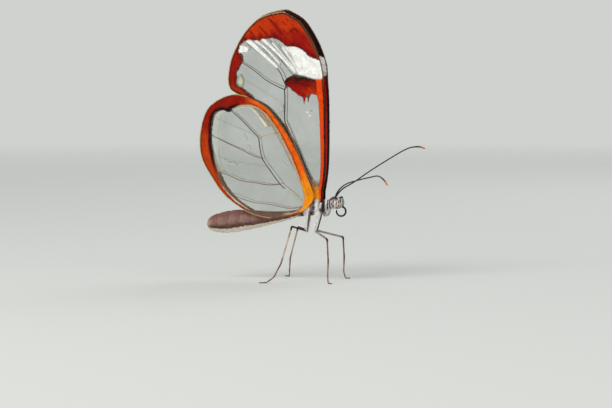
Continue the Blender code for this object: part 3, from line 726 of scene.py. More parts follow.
def small_solids(corners, solid_faces, thickness_unit, roots, along, normal, sizes, colours, at):
    """Points, faces, colours and bake map of many small closed solids of one form, rooted in a surface."""
    length, width, rise = (np.broadcast_to(size, len(roots))[:, None, None] for size in sizes)
    along, normal = along[:, None, :], normal[:, None, :]
    across = np.cross(normal, along)
    a, b, c, thick, shade = (column[None, :, None] for column in corners.T)
    thick = thick * (width if thickness_unit == "width" else 1.0)
    points = roots[:, None, :] + along * a * length + across * b * width + normal * (c * rise + thick)
    starts = len(corners) * np.arange(len(roots))[:, None, None]
    # Painted shade and light: each corner's colour is darkened at the sunk root and lightened at the raised
    # tip.
    tinted = colours[:, None, :] * shade
    uvs = at[:, None, :] + (corners[:, :2] - (0.5, 0.0)) * PATCH
    return (points.reshape(-1, 3), (solid_faces + starts).reshape(-1, 3), tinted.reshape(-1, 3),
            uvs.reshape(-1, 2))


def plates(*placed):
    """Thin shingle plates, each sunk at its root and raised at its tip."""
    return small_solids(PLATE_CORNERS, PLATE_FACES, "millimetre", *placed)


def tufts(*placed):
    """Thin tapered locks of hair that rise from the skin and bend over along their lie."""
    return small_solids(TUFT_CORNERS, TUFT_FACES, "width", *placed)


def joined(made):
    """Several sets of small solids as one."""
    points, faces, colours, uvs = zip(*made)
    starts = np.cumsum([0] + [len(p) for p in points])
    faces = [f + start for f, start in zip(faces, starts)]
    return tuple(np.vstack(a) for a in (points, faces, colours, uvs))


def coat_piece(name, made, material):
    points, faces, colours, uvs = made
    return new_piece(name, points, [faces], material, colours, uvs=uvs, smooth=False)


# Materials


def new_material(name, roughness, specular=0.5, sheen=0.0):
    material = bpy.data.materials.new(name)
    material.use_nodes = True
    nodes = material.node_tree.nodes
    shader = nodes["Principled BSDF"]
    shader.inputs["Roughness"].default_value = roughness
    shader.inputs["Specular IOR Level"].default_value = specular
    shader.inputs["Sheen Weight"].default_value = sheen
    return material, nodes, material.node_tree.links, shader


def noise(nodes, links, size, detail=3.0):
    """A noise texture in object space whose features are about the given size in millimetres."""
    place = nodes.new("ShaderNodeTexCoord")
    texture = nodes.new("ShaderNodeTexNoise")
    texture.inputs["Scale"].default_value = 1 / (size * MM)
    texture.inputs["Detail"].default_value = detail
    links.new(place.outputs["Object"], texture.inputs["Vector"])
    return texture.outputs["Fac"]


def mapped(nodes, links, value, low, high, start=0.3, end=0.7):
    """A value from start to end turned into one from low to high."""
    node = nodes.new("ShaderNodeMapRange")
    node.inputs["From Min"].default_value = start
    node.inputs["From Max"].default_value = end
    node.inputs["To Min"].default_value = low
    node.inputs["To Max"].default_value = high
    links.new(value, node.inputs["Value"])
    return node.outputs["Result"]


def mottled_colour(nodes, links, shader, size, low, high):
    """The piece's own colours, made lighter and darker by noise."""
    attribute = nodes.new("ShaderNodeAttribute")
    attribute.attribute_name = "Colour"
    shade = mapped(nodes, links, noise(nodes, links, size), low, high)
    scale = nodes.new("ShaderNodeVectorMath")
    scale.operation = "SCALE"
    links.new(attribute.outputs["Color"], scale.inputs[0])
    links.new(shade, scale.inputs["Scale"])
    links.new(scale.outputs["Vector"], shader.inputs["Base Color"])


def bumped(nodes, links, shader, size, depth, detail=2.0):
    """Relief of the given size and depth, in millimetres."""
    bump = nodes.new("ShaderNodeBump")
    bump.inputs["Strength"].default_value = 1.0
    bump.inputs["Distance"].default_value = depth * MM
    links.new(noise(nodes, links, size, detail), bump.inputs["Height"])
    links.new(bump.outputs["Normal"], shader.inputs["Normal"])


def coloured_material(name, roughness, mottling, relief, specular, sheen):
    """A mottled, finely uneven surface in the piece's own colours."""
    material, nodes, links, shader = new_material(name, roughness, specular, sheen)
    mottled_colour(nodes, links, shader, *mottling)
    bumped(nodes, links, shader, *relief)
    return material


def membrane_material():
    """A clear film with a thin milky veil, and opaque under its scales."""
    material, nodes, links, shader = new_material("wing_membrane", 0.28, specular=0.45)
    mottled_colour(nodes, links, shader, 0.6, 0.86, 1.1)
    bumped(nodes, links, shader, 0.9, 0.03, detail=4.0)
    cover = nodes.new("ShaderNodeAttribute")
    cover.attribute_name = "Cover"
    veil = mapped(nodes, links, noise(nodes, links, 3.5), VEIL - VEIL_CHANGE, VEIL + VEIL_CHANGE)
    alpha = nodes.new("ShaderNodeMath")
    alpha.operation = "MAXIMUM"
    links.new(cover.outputs["Fac"], alpha.inputs[0])
    links.new(veil, alpha.inputs[1])
    links.new(alpha.outputs["Value"], shader.inputs["Alpha"])
    return material


# Wings


class Canvas:
    """Colour and cover over flat points, painted one marking over another."""

    def __init__(self, points, colour):
        self.points = points
        self.colour = np.tile(colour, (len(points), 1))
        self.cover = np.zeros(len(points))

    def paint(self, colour, amount, cover=1.0):
        amount = np.clip(amount, 0, 1)
        self.colour += amount[:, None] * (colour - self.colour)
        self.cover += amount * (cover - self.cover)


def ragged(points, size=0.35, height=0.12):
    """Small shifts that make an edge uneven."""
    return height * grain(points, size) + 0.5 * height * grain(points, size / 3, 1)


def paint_strokes(canvas, strokes, **look):
    for path, *values in strokes:
        stroke(canvas, path, *values, **look)


def stroke(canvas, path, half_width, colour, cover=1.0, soft=0.12):
    """A painted line that tapers to its end."""
    gap, share = distance(canvas.points, smooth_path(path, STROKE_STEP))
    reach = half_width * (1 - 0.6 * share)
    canvas.paint(colour, 1 - ramp(gap, reach, reach + soft), cover)


def edge_height(points, edge):
    """How far flat points lie above an edge that runs along u."""
    edge = smooth_path(edge, EDGE_STEP)
    return points[:, 1] - np.interp(points[:, 0], edge[:, 0], edge[:, 1])


def forewing_markings(points, outer):
    """Colours and cover of a forewing: red outside, dark inside, with a white band before the tip."""
    tones = OUTER_FACE if outer else INNER_FACE
    outline = smooth_path(FOREWING_OUTLINE, RIM_MESH, closed=True)
    rim = np.maximum(depth_inside(points, outline), 0)
    canvas = Canvas(points, VEIL_GREEN)
    rough = ragged(points)
    u, v = points.T
    forward, up = STREAK_WAY
    run = (forward * u + up * v) / STREAK_LENGTHS
    streaks = grain(np.column_stack([run, forward * v - up * u]), STREAK_WIDTH, 3)
    above_apex = edge_height(points, APEX_EDGE) + rough
    paint_white(canvas, tones, above_apex, rough, streaks)
    paint_apex(canvas, tones, above_apex, rough, streaks, outline)
    paint_margin(canvas, tones, rim, rough)
    paint_bar(canvas, tones, rough, streaks)
    paint_costa(canvas, tones, rim, rough)
    canvas.paint(tones["base"], (1 - ramp(v, 0.8, 3.6)) * (1 - ramp(u, 0.3, 0.6)))
    line = 0.1 + 0.1 * ramp(-u, -0.5, 3.0)
    canvas.paint(MARGIN_BROWN, (1 - ramp(rim, line, line + 0.1)) * ramp(v, 14, 16))
    canvas.paint(EDGE_BROWN, (1 - ramp(rim, 0.04, 0.1)) * ramp(v, 16, 18))
    return canvas


def paint_white(canvas, tones, above_apex, rough, streaks):
    """The milky band below the tip, with its streaks, and the pale spot by the hind margin."""
    u, v = canvas.points.T
    above = edge_height(canvas.points, BAND_EDGE) - tones["band_rise"] + rough
    milk = np.clip(0.2 + 0.85 * ramp(u + 0.5 * (v - 20), -4.2, -1.8) + 0.3 * streaks, 0, 1)
    canvas.paint(SCALE_WHITE, ramp(above, 0.0, 0.5) * (1 - ramp(above_apex, -0.1, 0.1)) * milk)
    paint_strokes(canvas, FOREWING_STROKES)
    spot = np.hypot(*((canvas.points - PALE_SPOT) / PALE_SPOT_RADII).T)
    canvas.paint(SPOT_WHITE, 0.7 * (1 - ramp(spot + 1.5 * rough, 0.3, 1.25)))


def paint_margin(canvas, tones, rim, rough):
    """The band along the hind margin, red above and orange below, with a dark inner edge."""
    u, v = canvas.points.T
    band = np.interp(v, *np.transpose(MARGIN_BAND))
    behind = np.where((u < -3.0) & (v < 24.5), ramp(v, 12.5, 13.5), 0)
    inside = behind * (1 - ramp(rim + rough, band - 0.08, band + 0.08))
    canvas.paint(between(tones["red"] * 0.9, tones["border"], ramp(-v, -18.0, -15.8)), inside)
    canvas.paint(tones["deep"], inside * ramp(rim, band - 0.35, band - 0.05))


def paint_apex(canvas, tones, above, rough, streaks, outline):
    """The tip's patch: deep red at its lower edge, brighter and streaked above, brown along the front."""
    inside = ramp(above, 0.0, 0.16)
    clouds = 1.7 * streaks + 0.5 * grain(canvas.points, 1.3, 5)
    mix = ramp(above + clouds - 0.25 * (canvas.points[:, 0] + 6), 0.2, 2.6)
    canvas.paint(between(tones["red"], tones["bright"], mix), inside)
    canvas.paint(tones["deep"], 0.8 * inside * (1 - ramp(above + 0.4 * streaks, 0.2, 0.9)))
    canvas.paint(tones["deep"], 0.6 * inside * ramp(streaks + 0.3 * rough, 0.4, 0.7))
    for path, half_width in APEX_STREAKS:
        gap, _ = distance(canvas.points, smooth_path(path, EDGE_STEP))
        streak = 1 - ramp(gap + 0.8 * rough, half_width, half_width + 0.22)
        canvas.paint(tones["deep"], 0.6 * inside * streak)
    front = outline[(outline[:, 0] > -5.5) & (outline[:, 1] > 21.0)]
    gap = distance(canvas.points, front)[0] + rough
    canvas.paint(tones["edge"], inside * (1 - ramp(gap, APEX_FRONT_BAND - 0.1, APEX_FRONT_BAND + 0.1)))


def paint_bar(canvas, tones, rough, streaks):
    """The red bar across the end of the clear cell, dark along its upper edge."""
    u, _ = canvas.points.T
    below = edge_height(canvas.points, BAR_TOP) + rough
    above = edge_height(canvas.points, BAR_LOW) - tones["band_rise"] + rough
    bar = ramp(above, 0, 0.14) * (1 - ramp(below, 0, 0.14)) * ramp(u, -4.85, -4.6)
    mix = ramp(0.6 * streaks + 0.4 * grain(canvas.points, 0.9, 6) + 0.25 * (u + 1.5), -0.2, 0.9)
    canvas.paint(between(tones["red"] * 0.85, tones["bright"], mix), bar)
    canvas.paint(tones["deep"], 0.7 * bar * ramp(below, -1.5, -0.9))
    dark = -0.14 + 0.26 * ramp(-u, -0.5, 3.5)
    canvas.paint(DARK_BROWN, bar * ramp(below + 2.2 * rough, -0.45 - dark, -0.2 - dark))


def paint_costa(canvas, tones, rim, rough):
    """The stripes along a forewing's front edge: orange, dark, red and black towards the edge."""
    u, v = canvas.points.T
    width = np.interp(v, *np.transpose(COSTAL_BAND))
    ahead = ((u > -0.7) & (v < 18.4)).astype(float) * (1 - ramp(v, 18.0, 18.4))
    inward = rim + 0.3 * rough
    canvas.paint(tones["front"], ahead * (1 - ramp(inward, width - 0.05, width + 0.1)))
    for reach, colour in tones["costa"]:
        canvas.paint(colour, ahead * (1 - ramp(inward, reach - 0.05, reach + 0.03)))


def hindwing_markings(points, outer):
    """Colours and cover of a hindwing: an orange border, yellow at the base, round a clear window."""
    tones = OUTER_FACE if outer else INNER_FACE
    outline = smooth_path(HINDWING_OUTLINE, RIM_MESH, closed=True)
    window = smooth_path(HINDWING_WINDOW, RIM_MESH, closed=True)
    rim = np.maximum(depth_inside(points, outline), 0)
    into = depth_inside(points, window) + ragged(points, 0.3, 0.07)
    canvas = Canvas(points, VEIL_GREEN)
    paint_strokes(canvas, HINDWING_STROKES)
    u, v = points.T
    costal = ramp(u + 0.45 * v, -5.2, -3.2)
    inner = ramp(-v, -0.2, 0.8) * ramp(u, -10.5, -8.5)
    base = 1 - ramp(np.hypot(u - 0.1, 0.55 * (v - 0.8)), 1.2, 2.8)
    border = 1 - ramp(into, -0.06, 0.06)
    share = 1 - (1 - tones["inner_cover"]) * inner * (1 - base)
    canvas.paint(border_tint(points, tones, inner, base), border * share, tones["border_cover"])
    if outer:
        canvas.paint(tones["low"], border * costal * (1 - base) * ramp(into, -0.34, -0.24))
        outside = (1 - costal) * (1 - inner)
        paint_dark_edge(canvas, tones, into, border, border * outside)
        pink = ramp(into, -0.1, -0.03) * (1 - ramp(into, 0.1, 0.2)) * (1 - 0.6 * base)
        canvas.paint(PALE_PINK, costal * pink)
        line = (1 - ramp(rim, 0.16, 0.26)) * (0.45 + 0.55 * ramp(v, 2.0, 6.0))
        canvas.paint(MARGIN_BROWN, outside * line)
    edge = (1 - ramp(rim, 0.06, 0.14)) * ramp(np.hypot(u, v), 3.0, 4.5)
    canvas.paint(EDGE_BROWN * 1.3, edge)
    return canvas


def border_tint(points, tones, inner, base):
    """The border's colours: red at the tip, orange in front, brown by the body, yellow at the base."""
    u, v = points.T
    tint = between(tones["border"], tones["border_top"], ramp(v + grain(points, 2.0, 4), 9.5, 13.5))
    tint = between(tint, tones["stripe"], ramp(u + 0.45 * v, -3.4, -0.8))
    tint = tint * (1 + 0.22 * grain(points, 0.7, 4))[:, None]
    tint = between(tint, tones["base"], base)
    return between(tint, BORDER_BROWN, inner * (1 - base))


def paint_dark_edge(canvas, tones, into, border, outside):
    """The dark line round the window's outer side, and the knot in it where a vein ends."""
    dark = outside * ramp(canvas.points[:, 1], 3.5, 7.0)
    canvas.paint(tones["deep"], dark * ramp(into, -0.62, -0.4))
    canvas.paint(tones["line"], dark * ramp(into, -0.42, -0.22))
    knot = 1 - ramp(np.hypot(*(canvas.points - BORDER_KNOT).T), 0.3, 0.75)
    canvas.paint(tones["line"], knot * border)


class Wing:
    """One kind of wing, drawn flat from its hinge."""

    def __init__(self, name, hinge, left_pose, outside, root_bend, outline, veins, vein_fade, lie,
                 markings):
        self.name = name
        self.hinge = hinge
        self.poses = {LEFT: left_pose, RIGHT: AS_DRAWN}
        self.outside = outside
        self.root_bend = root_bend
        self.outline = smooth_path(outline, RIM_MESH, closed=True)
        self.veins = [(smooth_path(path, VEIN_STEP), radii, colour) for path, radii, colour in veins]
        self.vein_fade = vein_fade
        self.lie_from, self.lie_beyond, self.lie_turn = (np.array(part) for part in lie)
        self.markings = markings

    def place(self, side, flat, lift=0.0):
        """Flat points set in the wing's curved surface, lifted outward from its middle."""
        long, tall, turn, back = self.poses[side]
        x = self.hinge[0] + flat[:, 0] * long - flat[:, 1] * turn - back
        z = self.hinge[1] + flat[:, 1] * tall + flat[:, 0] * turn
        height = z - FOREWING_HINGE[1]
        closing = WING_CLOSING * ramp(height, 0, WING_CLOSING_HEIGHT) * (x - FOREWING_HINGE[0])
        bend = self.root_bend * (1 - ramp(np.linalg.norm(flat, axis=1), 0, ROOT_BEND_LENGTH))
        out = WING_ROOT_OUT + WING_LEAN_OUT * height + closing + self.outside - bend + lift
        return np.column_stack([x, side * out, z])

    def billow(self, flat):
        """How far the membrane stands out between its veins."""
        near = np.full(len(flat), 1e9)
        for vein, radii, _ in self.veins:
            if max(radii) > FAINT_VEIN:
                near = np.minimum(near, distance(flat, vein[::2])[0])
        rim = distance(flat, closed(self.outline))[0]
        return BILLOW * ramp(np.minimum(near, rim), 0, BILLOW_WIDTH)

    def normals(self, side, flat, face):
        """Directions straight out of one of the wing's faces."""
        origin = self.place(side, flat)
        forward = self.place(side, flat + (SLOPE_STEP, 0)) - origin
        up = self.place(side, flat + (0, SLOPE_STEP)) - origin
        out = unit(np.cross(forward, up))
        return out * np.sign(out[:, 1:2] * side * face)


def wing_points(outline, step):
    """Flat points of a wing: its margin, then evenly spread rows inside it."""
    low, high = outline.min(0), outline.max(0)
    rows = []
    for row, v in enumerate(np.arange(low[1], high[1], step * math.sqrt(3) / 2)):
        u = np.arange(low[0] + step * (row % 2) / 2, high[0], step)
        rows.append(np.column_stack([u, np.full(len(u), v)]))
    inner = np.vstack(rows)
    inner = inner[depth_inside(inner, outline) > 0.55 * step]
    return np.vstack([outline, inner])


def wing_membrane(wing, side, side_name, material):
    """The membrane: two faces a hair's breadth apart, joined round the margin."""
    flat = wing_points(wing.outline, WING_MESH)
    ring = len(wing.outline)
    edges = [(i, (i + 1) % ring) for i in range(ring)]
    placed, _, faces, _, _, _ = delaunay_2d_cdt([Vector(p) for p in flat], edges, [], 1, 1e-5)
    flat, faces = np.array(placed), np.array(faces)
    billow = wing.billow(flat)
    outside, inside = (wing.markings(flat, outer) for outer in (True, False))
    points = np.vstack([wing.place(side, flat, billow + MEMBRANE_HALF),
                        wing.place(side, flat, billow - MEMBRANE_HALF)])
    count = len(flat)
    k = np.arange(ring)
    nxt = (k + 1) % ring
    rim = np.column_stack([nxt, k, k + count, nxt + count])
    if polygon_area(wing.outline) < 0:
        rim = rim[:, ::-1]
    if side == LEFT:
        faces, rim = faces[:, ::-1], rim[:, ::-1]
    faces = [np.vstack([faces, faces[:, ::-1] + count]), rim]
    colours = np.vstack([outside.colour, inside.colour])
    cover = np.concatenate([outside.cover, inside.cover])
    name = f"{wing.name}_{side_name}"
    piece = new_piece(f"{name}_membrane", points, faces, material, colours, cover)
    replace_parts(piece, name)


def polygon_area(outline):
    x, y = outline.T
    return 0.5 * np.sum(x * np.roll(y, -1) - np.roll(x, -1) * y)


def scale_roots(wing, rng):
    """Flat places of scales, in arcs round a point below the hinge."""
    origin = np.array(SCALE_ARCS)
    reach = np.linalg.norm(wing.outline - origin, axis=1)
    bearings = np.arctan2(*(wing.outline - origin).T[::-1])
    bearings = np.where(bearings < -math.pi / 2, bearings + 2 * math.pi, bearings)
    rows = []
    for radius in np.arange(reach.min() * 0.5, reach.max(), SCALE_ROW):
        turn = SCALE_PITCH / radius
        angles = np.arange(bearings.min(), bearings.max(), turn) + turn * rng.uniform()
        angles = angles + turn * rng.uniform(-0.3, 0.3, len(angles))
        distances = radius + SCALE_ROW * rng.uniform(-0.3, 0.3, len(angles))
        rows.append(origin + distances[:, None] * np.column_stack([np.cos(angles), np.sin(angles)]))
    roots = np.vstack(rows)
    return roots[depth_inside(roots, wing.outline) > 0.02]


def lie_on_wing(wing, flat):
    """The way that scales point: out from the hinge, and further out from the end of the clear cell."""
    near = unit(flat - wing.lie_from)
    far = unit(flat - wing.lie_beyond)
    share = ramp(flat[:, 1], *wing.lie_turn)[:, None]
    return unit(near + share * (far - near))


def flat_map(wing, flat, face):
    """Places of flat points on the bake map: the outer face on its left half, the inner on its right."""
    low, high = wing.outline.min(0), wing.outline.max(0)
    share = (flat - low) / (high - low)
    across = 0.01 + 0.48 * share[:, 0] + (0.5 if face < 0 else 0.0)
    return np.column_stack([across, 0.01 + 0.98 * share[:, 1]])


def wing_coat(wing, side, side_name, material, rng):
    """The scales on both faces of a wing, and its fringe."""
    made = []
    for face in (1, -1):
        roots = scale_roots(wing, rng)
        lie = unit(lie_on_wing(wing, roots) + 0.1 * rng.normal(size=roots.shape))
        canvas = wing.markings(roots + 0.5 * SCALE_LENGTH * lie, face > 0)
        dense = ramp(canvas.cover, *SCALED_COVER)
        inside = depth_inside(roots + 0.85 * SCALE_LENGTH * lie, wing.outline) > 0
        kept = inside & (rng.uniform(size=len(roots)) < dense)
        slim = 1 - 0.55 * (1 - dense[kept])
        sizes = (SCALE_LENGTH / slim ** 0.5, SCALE_WIDTH * slim)
        colours = canvas.colour[kept]
        made.append(scales_on_wing(wing, side, face, roots[kept], lie[kept], colours, sizes, rng))
        roots, lie = fringe_roots(wing, rng)
        colours = FRINGE_TAN * rng.uniform(0.6, 1.1, (len(roots), 1))
        sizes = (FRINGE_LENGTH, FRINGE_WIDTH)
        made.append(scales_on_wing(wing, side, face, roots, lie, colours, sizes, rng))
    coat_piece(f"{wing.name}_{side_name}_scales", joined(made), material)


def scales_on_wing(wing, side, face, roots, lie, colours, sizes, rng):
    """Scales on one face of a wing, each a little other than its neighbours in size and tone."""
    billow = wing.billow(roots) + face * MEMBRANE_HALF
    start = wing.place(side, roots, billow)
    along = unit(wing.place(side, roots + SLOPE_STEP * lie, billow) - start)
    normal = wing.normals(side, roots, face)
    vary = rng.uniform(0.8, 1.15, len(roots))
    tone = rng.uniform(0.86, 1.12, (len(roots), 1))
    sizes = (sizes[0] * vary, sizes[1] * vary, SCALE_LIFT * rng.uniform(0.6, 1.3, len(roots)))
    along = along_surface(along, normal)
    return plates(start, along, normal, sizes, colours * tone, flat_map(wing, roots, face))


def fringe_roots(wing, rng):
    """Places just inside the margin away from the body, with the way out of the wing there."""
    rim = smooth_path(wing.outline[::4], FRINGE_PITCH, closed=True)
    ahead = unit(np.roll(rim, -1, axis=0) - np.roll(rim, 1, axis=0))
    out = np.column_stack([ahead[:, 1], -ahead[:, 0]]) * np.sign(polygon_area(wing.outline))
    lie = unit(out + 0.6 * lie_on_wing(wing, rim) + 0.12 * rng.normal(size=rim.shape))
    roots = rim - 0.06 * out
    far = (np.linalg.norm(rim, axis=1) > 6.0) & (depth_inside(roots, wing.outline) > 0)
    kept = far & (out[:, 0] < 0.3)
    return roots[kept], lie[kept]


def wing_veins(wing, side, side_name, material):
    """The veins as tapering tubes, tinted by the scales round them and paler on the inside."""
    parts = Parts()
    for vein, radii, colour in wing.veins:
        path = vein[depth_inside(vein, wing.outline) > 0.02]
        under, within = (wing.markings(path, outer) for outer in (True, False))
        hidden = (0.85 * under.cover)[:, None]
        tint = on_rings(colour * (1 - hidden) + 0.8 * under.colour * hidden, VEIN_SIDES)
        behind = on_rings(between(VEIN_INNER, within.colour, within.cover), VEIN_SIDES)
        fade = on_rings(np.maximum(wing.vein_fade, within.cover)[:, None], VEIN_SIDES)
        middle = wing.place(side, path)
        rooted = 0.2 + 0.8 * ramp(np.linalg.norm(path, axis=1), 0.4, 2.4)
        points, caps, quads = tube(middle, np.linspace(*radii, len(path)) * rooted, VEIN_SIDES)
        inward = -(points - on_rings(middle, VEIN_SIDES))[:, 1] * side / radii[0]
        parts.add(points, caps, quads, tint + fade * ramp(inward, 0.0, 0.4)[:, None] * (behind - tint))
    parts.piece(f"{wing.name}_{side_name}_veins", material, "dark_chitin")


def build_wings(materials):
    wings = [
        Wing("forewing", FOREWING_HINGE, LEFT_FOREWING, 0.0, 0.0, FOREWING_OUTLINE, FOREWING_VEINS,
             FOREWING_VEIN_FADE, FOREWING_LIE, forewing_markings),
        Wing("hindwing", HINDWING_HINGE, LEFT_HINDWING, HINDWING_OUTSIDE, HINDWING_ROOT_BEND,
             HINDWING_OUTLINE, HINDWING_VEINS, HINDWING_VEIN_FADE, HINDWING_LIE, hindwing_markings),
    ]
    rng = np.random.default_rng(WING_SEED)
    for wing in wings:
        for side_name, side in SIDES.items():
            wing_membrane(wing, side, side_name, materials["membrane"])
            wing_veins(wing, side, side_name, materials["vein"])
            wing_coat(wing, side, side_name, materials["scales"], rng)


# Body


def body_rows():
    """The body's sections from tail to face, a body step apart."""
    return smooth_path(BODY_SECTIONS, BODY_STEP)


def along_segment(x):
    """How far along its abdominal segment each x lies, from 0 at its front to 1; -1 off the abdomen."""
    along = (ABDOMEN_FRONT - x) / (ABDOMEN_FRONT - ABDOMEN_REAR) * ABDOMEN_SEGMENTS
    return np.where((along > 0) & (along < ABDOMEN_SEGMENTS), along % 1, -1)


def body_form():
    """A closed loft from the tail to the face, whose abdominal segments overlap backward."""
    x, z, tall, wide = body_rows().T
    within = along_segment(x)
    step = np.where(within < 0, 0, ramp(within, 0, 0.3) - ramp(within, 0.86, 1.0))
    swell = 1 + SEGMENT_GROOVE * step
    angles = 2 * np.pi * np.arange(BODY_SIDES) / BODY_SIDES
    y = (wide * swell)[:, None] * np.sin(angles)
    up = z[:, None] + (tall * swell)[:, None] * np.cos(angles)
    rings = np.stack([np.broadcast_to(x[:, None], y.shape), y, up], axis=2)
    return ring_form(rings)


def coxa_line(ends, side):
    return outward(ends, side) - (COXA_BACK[side], 0, 0)


def body_forms():
    """The overlapping closed forms that fuse into the body."""
    forms = [body_form()]
    for side in SIDES.values():
        for ends, radii in COXAE.values():
            path = smooth_path(coxa_line(ends, side), 0.12)
            thick = coxa_thickness(radii, np.linspace(0, 1, len(path)))
            forms.append(tube(path, thick, sides=20, flat=0.9))
        for centre, radii in BODY_LUMPS:
            forms.append(ball(outward([centre], side)[0], radii))
    return forms


class Skin:
    """One skin round overlapping closed forms, in millimetres."""

    def __init__(self, forms):
        parts = Parts()
        for points, triangles, quads in forms:
            parts.add(points, triangles, quads, HAIR_GREY)
        mesh = bpy.data.meshes.new("fused")
        faces = [list(f) for group in (parts.triangles, parts.quads) for f in np.vstack(group)]
        mesh.from_pydata(np.vstack(parts.points), [], faces)
        rough = bpy.data.objects.new("fused", mesh)
        bpy.context.scene.collection.objects.link(rough)
        fuse = rough.modifiers.new("fuse", "REMESH")
        fuse.mode = "VOXEL"
        fuse.voxel_size = SKIN_VOXEL
        soften = rough.modifiers.new("soften", "SMOOTH")
        soften.iterations = 3
        done = rough.evaluated_get(bpy.context.evaluated_depsgraph_get()).to_mesh()
        self.points = read_array(done.vertices, "co", 3)
        self.normals = read_array(done.vertices, "normal", 3)
        self.quads = read_array(done.loops, "vertex_index", 1, np.int32).reshape(-1, 4)
        bpy.data.objects.remove(rough)

    def spread(self, gap_of, rng):
        """Places on the skin about as far apart as gap_of says, with the normals there."""
        corners = self.points[self.quads]
        area = np.linalg.norm(np.cross(corners[:, 2] - corners[:, 0], corners[:, 3] - corners[:, 1]), axis=1)
        gaps = gap_of(corners.mean(1))
        wanted = area / 2 / gaps ** 2
        pick = rng.choice(len(area), int(wanted.sum() * SPREAD_TRIES), p=wanted / wanted.sum())
        s, t = rng.uniform(size=(2, len(pick), 1))
        weights = [(1 - s) * (1 - t), s * (1 - t), s * t, (1 - s) * t]
        points = sum(w * corners[pick, i] for i, w in enumerate(weights))
        normals = unit(sum(w * self.normals[self.quads[pick, i]] for i, w in enumerate(weights)))
        kept = thinned(points, gap_of(points))
        return points[kept], normals[kept]


def read_array(items, name, width, kind=np.float32):
    values = np.empty(len(items) * width, dtype=kind)
    items.foreach_get(name, values)
    return values.reshape(-1, width).astype(int if kind == np.int32 else float)


def thinned(points, gaps):
    """Indices of points that keep their gaps to one another."""
    tree = KDTree(len(points))
    for i, point in enumerate(points):
        tree.insert(point, i)
    tree.balance()
    free = np.ones(len(points), dtype=bool)
    kept = []
    for i, (point, gap) in enumerate(zip(points, gaps)):
        if free[i]:
            kept.append(i)
            for _, near, _ in tree.find_range(point, gap * 0.8):
                free[near] = False
    return np.array(kept)


def coxa_thickness(radii, share):
    return radii[0] + (radii[1] - radii[0]) * share ** COXA_TAPER


def on_coxae(points):
    """For each point the nearest coxa, its distance from that one's axis, and its share and turn on it."""
    best = np.full(len(points), 1e9)
    found = np.zeros((4, len(points)))
    for side in SIDES.values():
        for k, (ends, radii) in enumerate(COXAE.values()):
            axis = coxa_line(ends, side)
            gap, share = distance(points, axis)
            closer = gap < best
            best[closer] = gap[closer]
            place = axis[0] + share[:, None] * (axis[1] - axis[0])
            away = (points - place) * (1, side, 1)
            turn = np.degrees(np.arctan2(away[:, 1], away[:, 0]))
            which = np.full(len(points), 2 * k + (side < 0))
            found[:, closer] = np.stack([which, gap / coxa_thickness(radii, share), share, turn])[:, closer]
    return found


def regions(points):
    """Shares of abdomen, coxa and head at points on the body; the rest is thorax."""
    x, _, z = points.T
    abdomen = ramp(-x, -ABDOMEN_FRONT - 0.25, -ABDOMEN_FRONT + 0.25)
    head = ramp(x, HEAD_REAR - 0.15, HEAD_REAR + 0.15)
    _, reach, _, _ = on_coxae(points)
    coxa = (1 - ramp(reach, 1.15, 1.4)) * (1 - ramp(z, 9.9, 10.9))
    return abdomen, coxa, head


def body_markings(points):
    """The body's colours: mauve abdomen with a cream underside, white and dark thorax, striped neck."""
    x, _, z = points.T
    rows = body_rows()
    middle, tall = (np.interp(x, rows[:, 0], rows[:, k]) for k in (1, 2))
    height = (z - middle) / tall
    abdomen, coxa, head = regions(points)
    canvas = Canvas(np.column_stack([x, z]), HAIR_GREY)
    fine = grain(points, 0.22, 1)
    broad = grain(points, 0.9, 2)
    canvas.paint(HAIR_DARK, ramp(height, 0.55, 0.85) * (0.7 + 0.4 * broad))
    canvas.paint(HAIR_MAUVE, 0.5 + 0.5 * broad)
    paint_strokes(canvas, THORAX_STROKES, soft=0.14)
    paint_abdomen(canvas, abdomen, x, height + 0.06 * fine, fine, broad)
    paint_coxae(canvas, coxa, points, fine)
    paint_head(canvas, head, points, fine)
    return canvas


def paint_abdomen(canvas, abdomen, x, height, fine, broad):
    """Mauve segments with darker joints, a dark line low on the side, a cream underside and a pale tip."""
    within = np.maximum(along_segment(x), 0)
    canvas.paint(ABDOMEN_MAUVE, abdomen)
    canvas.paint(ABDOMEN_FORE, abdomen * ramp(height, 0.25, 0.7) * (0.55 + 0.45 * ramp(x, -11.5, -7.0)))
    canvas.paint(ABDOMEN_TIP, abdomen * 0.18 * ramp(within, 0.3, 0.85) * (1 - ramp(height, 0.3, 0.8)))
    canvas.paint(ABDOMEN_DARK, abdomen * 0.22 * (1 - ramp(within, 0.0, 0.3)))
    canvas.paint(ABDOMEN_DARK, abdomen * (0.85 + 0.3 * fine) * ramp(-height, 0.02, 0.42))
    canvas.paint(ABDOMEN_CREAM, abdomen * ramp(-height, 0.54, 0.68))
    canvas.paint(ABDOMEN_TIP, abdomen * 0.75 * ramp(-x + 0.35 * fine, 15.1, 16.3))
    spots = ramp(x, -5.0, -3.0) * ramp(broad + fine, 0.25, 0.7)
    canvas.paint(HAIR_WHITE, abdomen * 0.6 * spots * (1 - ramp(height, 0.5, 0.9)))
    canvas.paint(ABDOMEN_FORE, abdomen * 0.7 * ramp(x, -9.5, -7.0) * (1 - spots) * ramp(height, -0.5, -0.2))


def paint_coxae(canvas, coxa, points, fine):
    """White coxae with a dark stripe down each."""
    which, _, _, turn = on_coxae(points)
    canvas.paint(SCALE_WHITE, coxa * (0.92 + 0.1 * fine))
    hind = which < 2
    stripe = 1 - ramp(np.abs(turn - np.where(hind, *STRIPE_TURNS)), 20, 32)
    canvas.paint(np.where(hind[:, None], HAIR_MAUVE * 0.45, HAIR_BLACK), coxa * stripe)


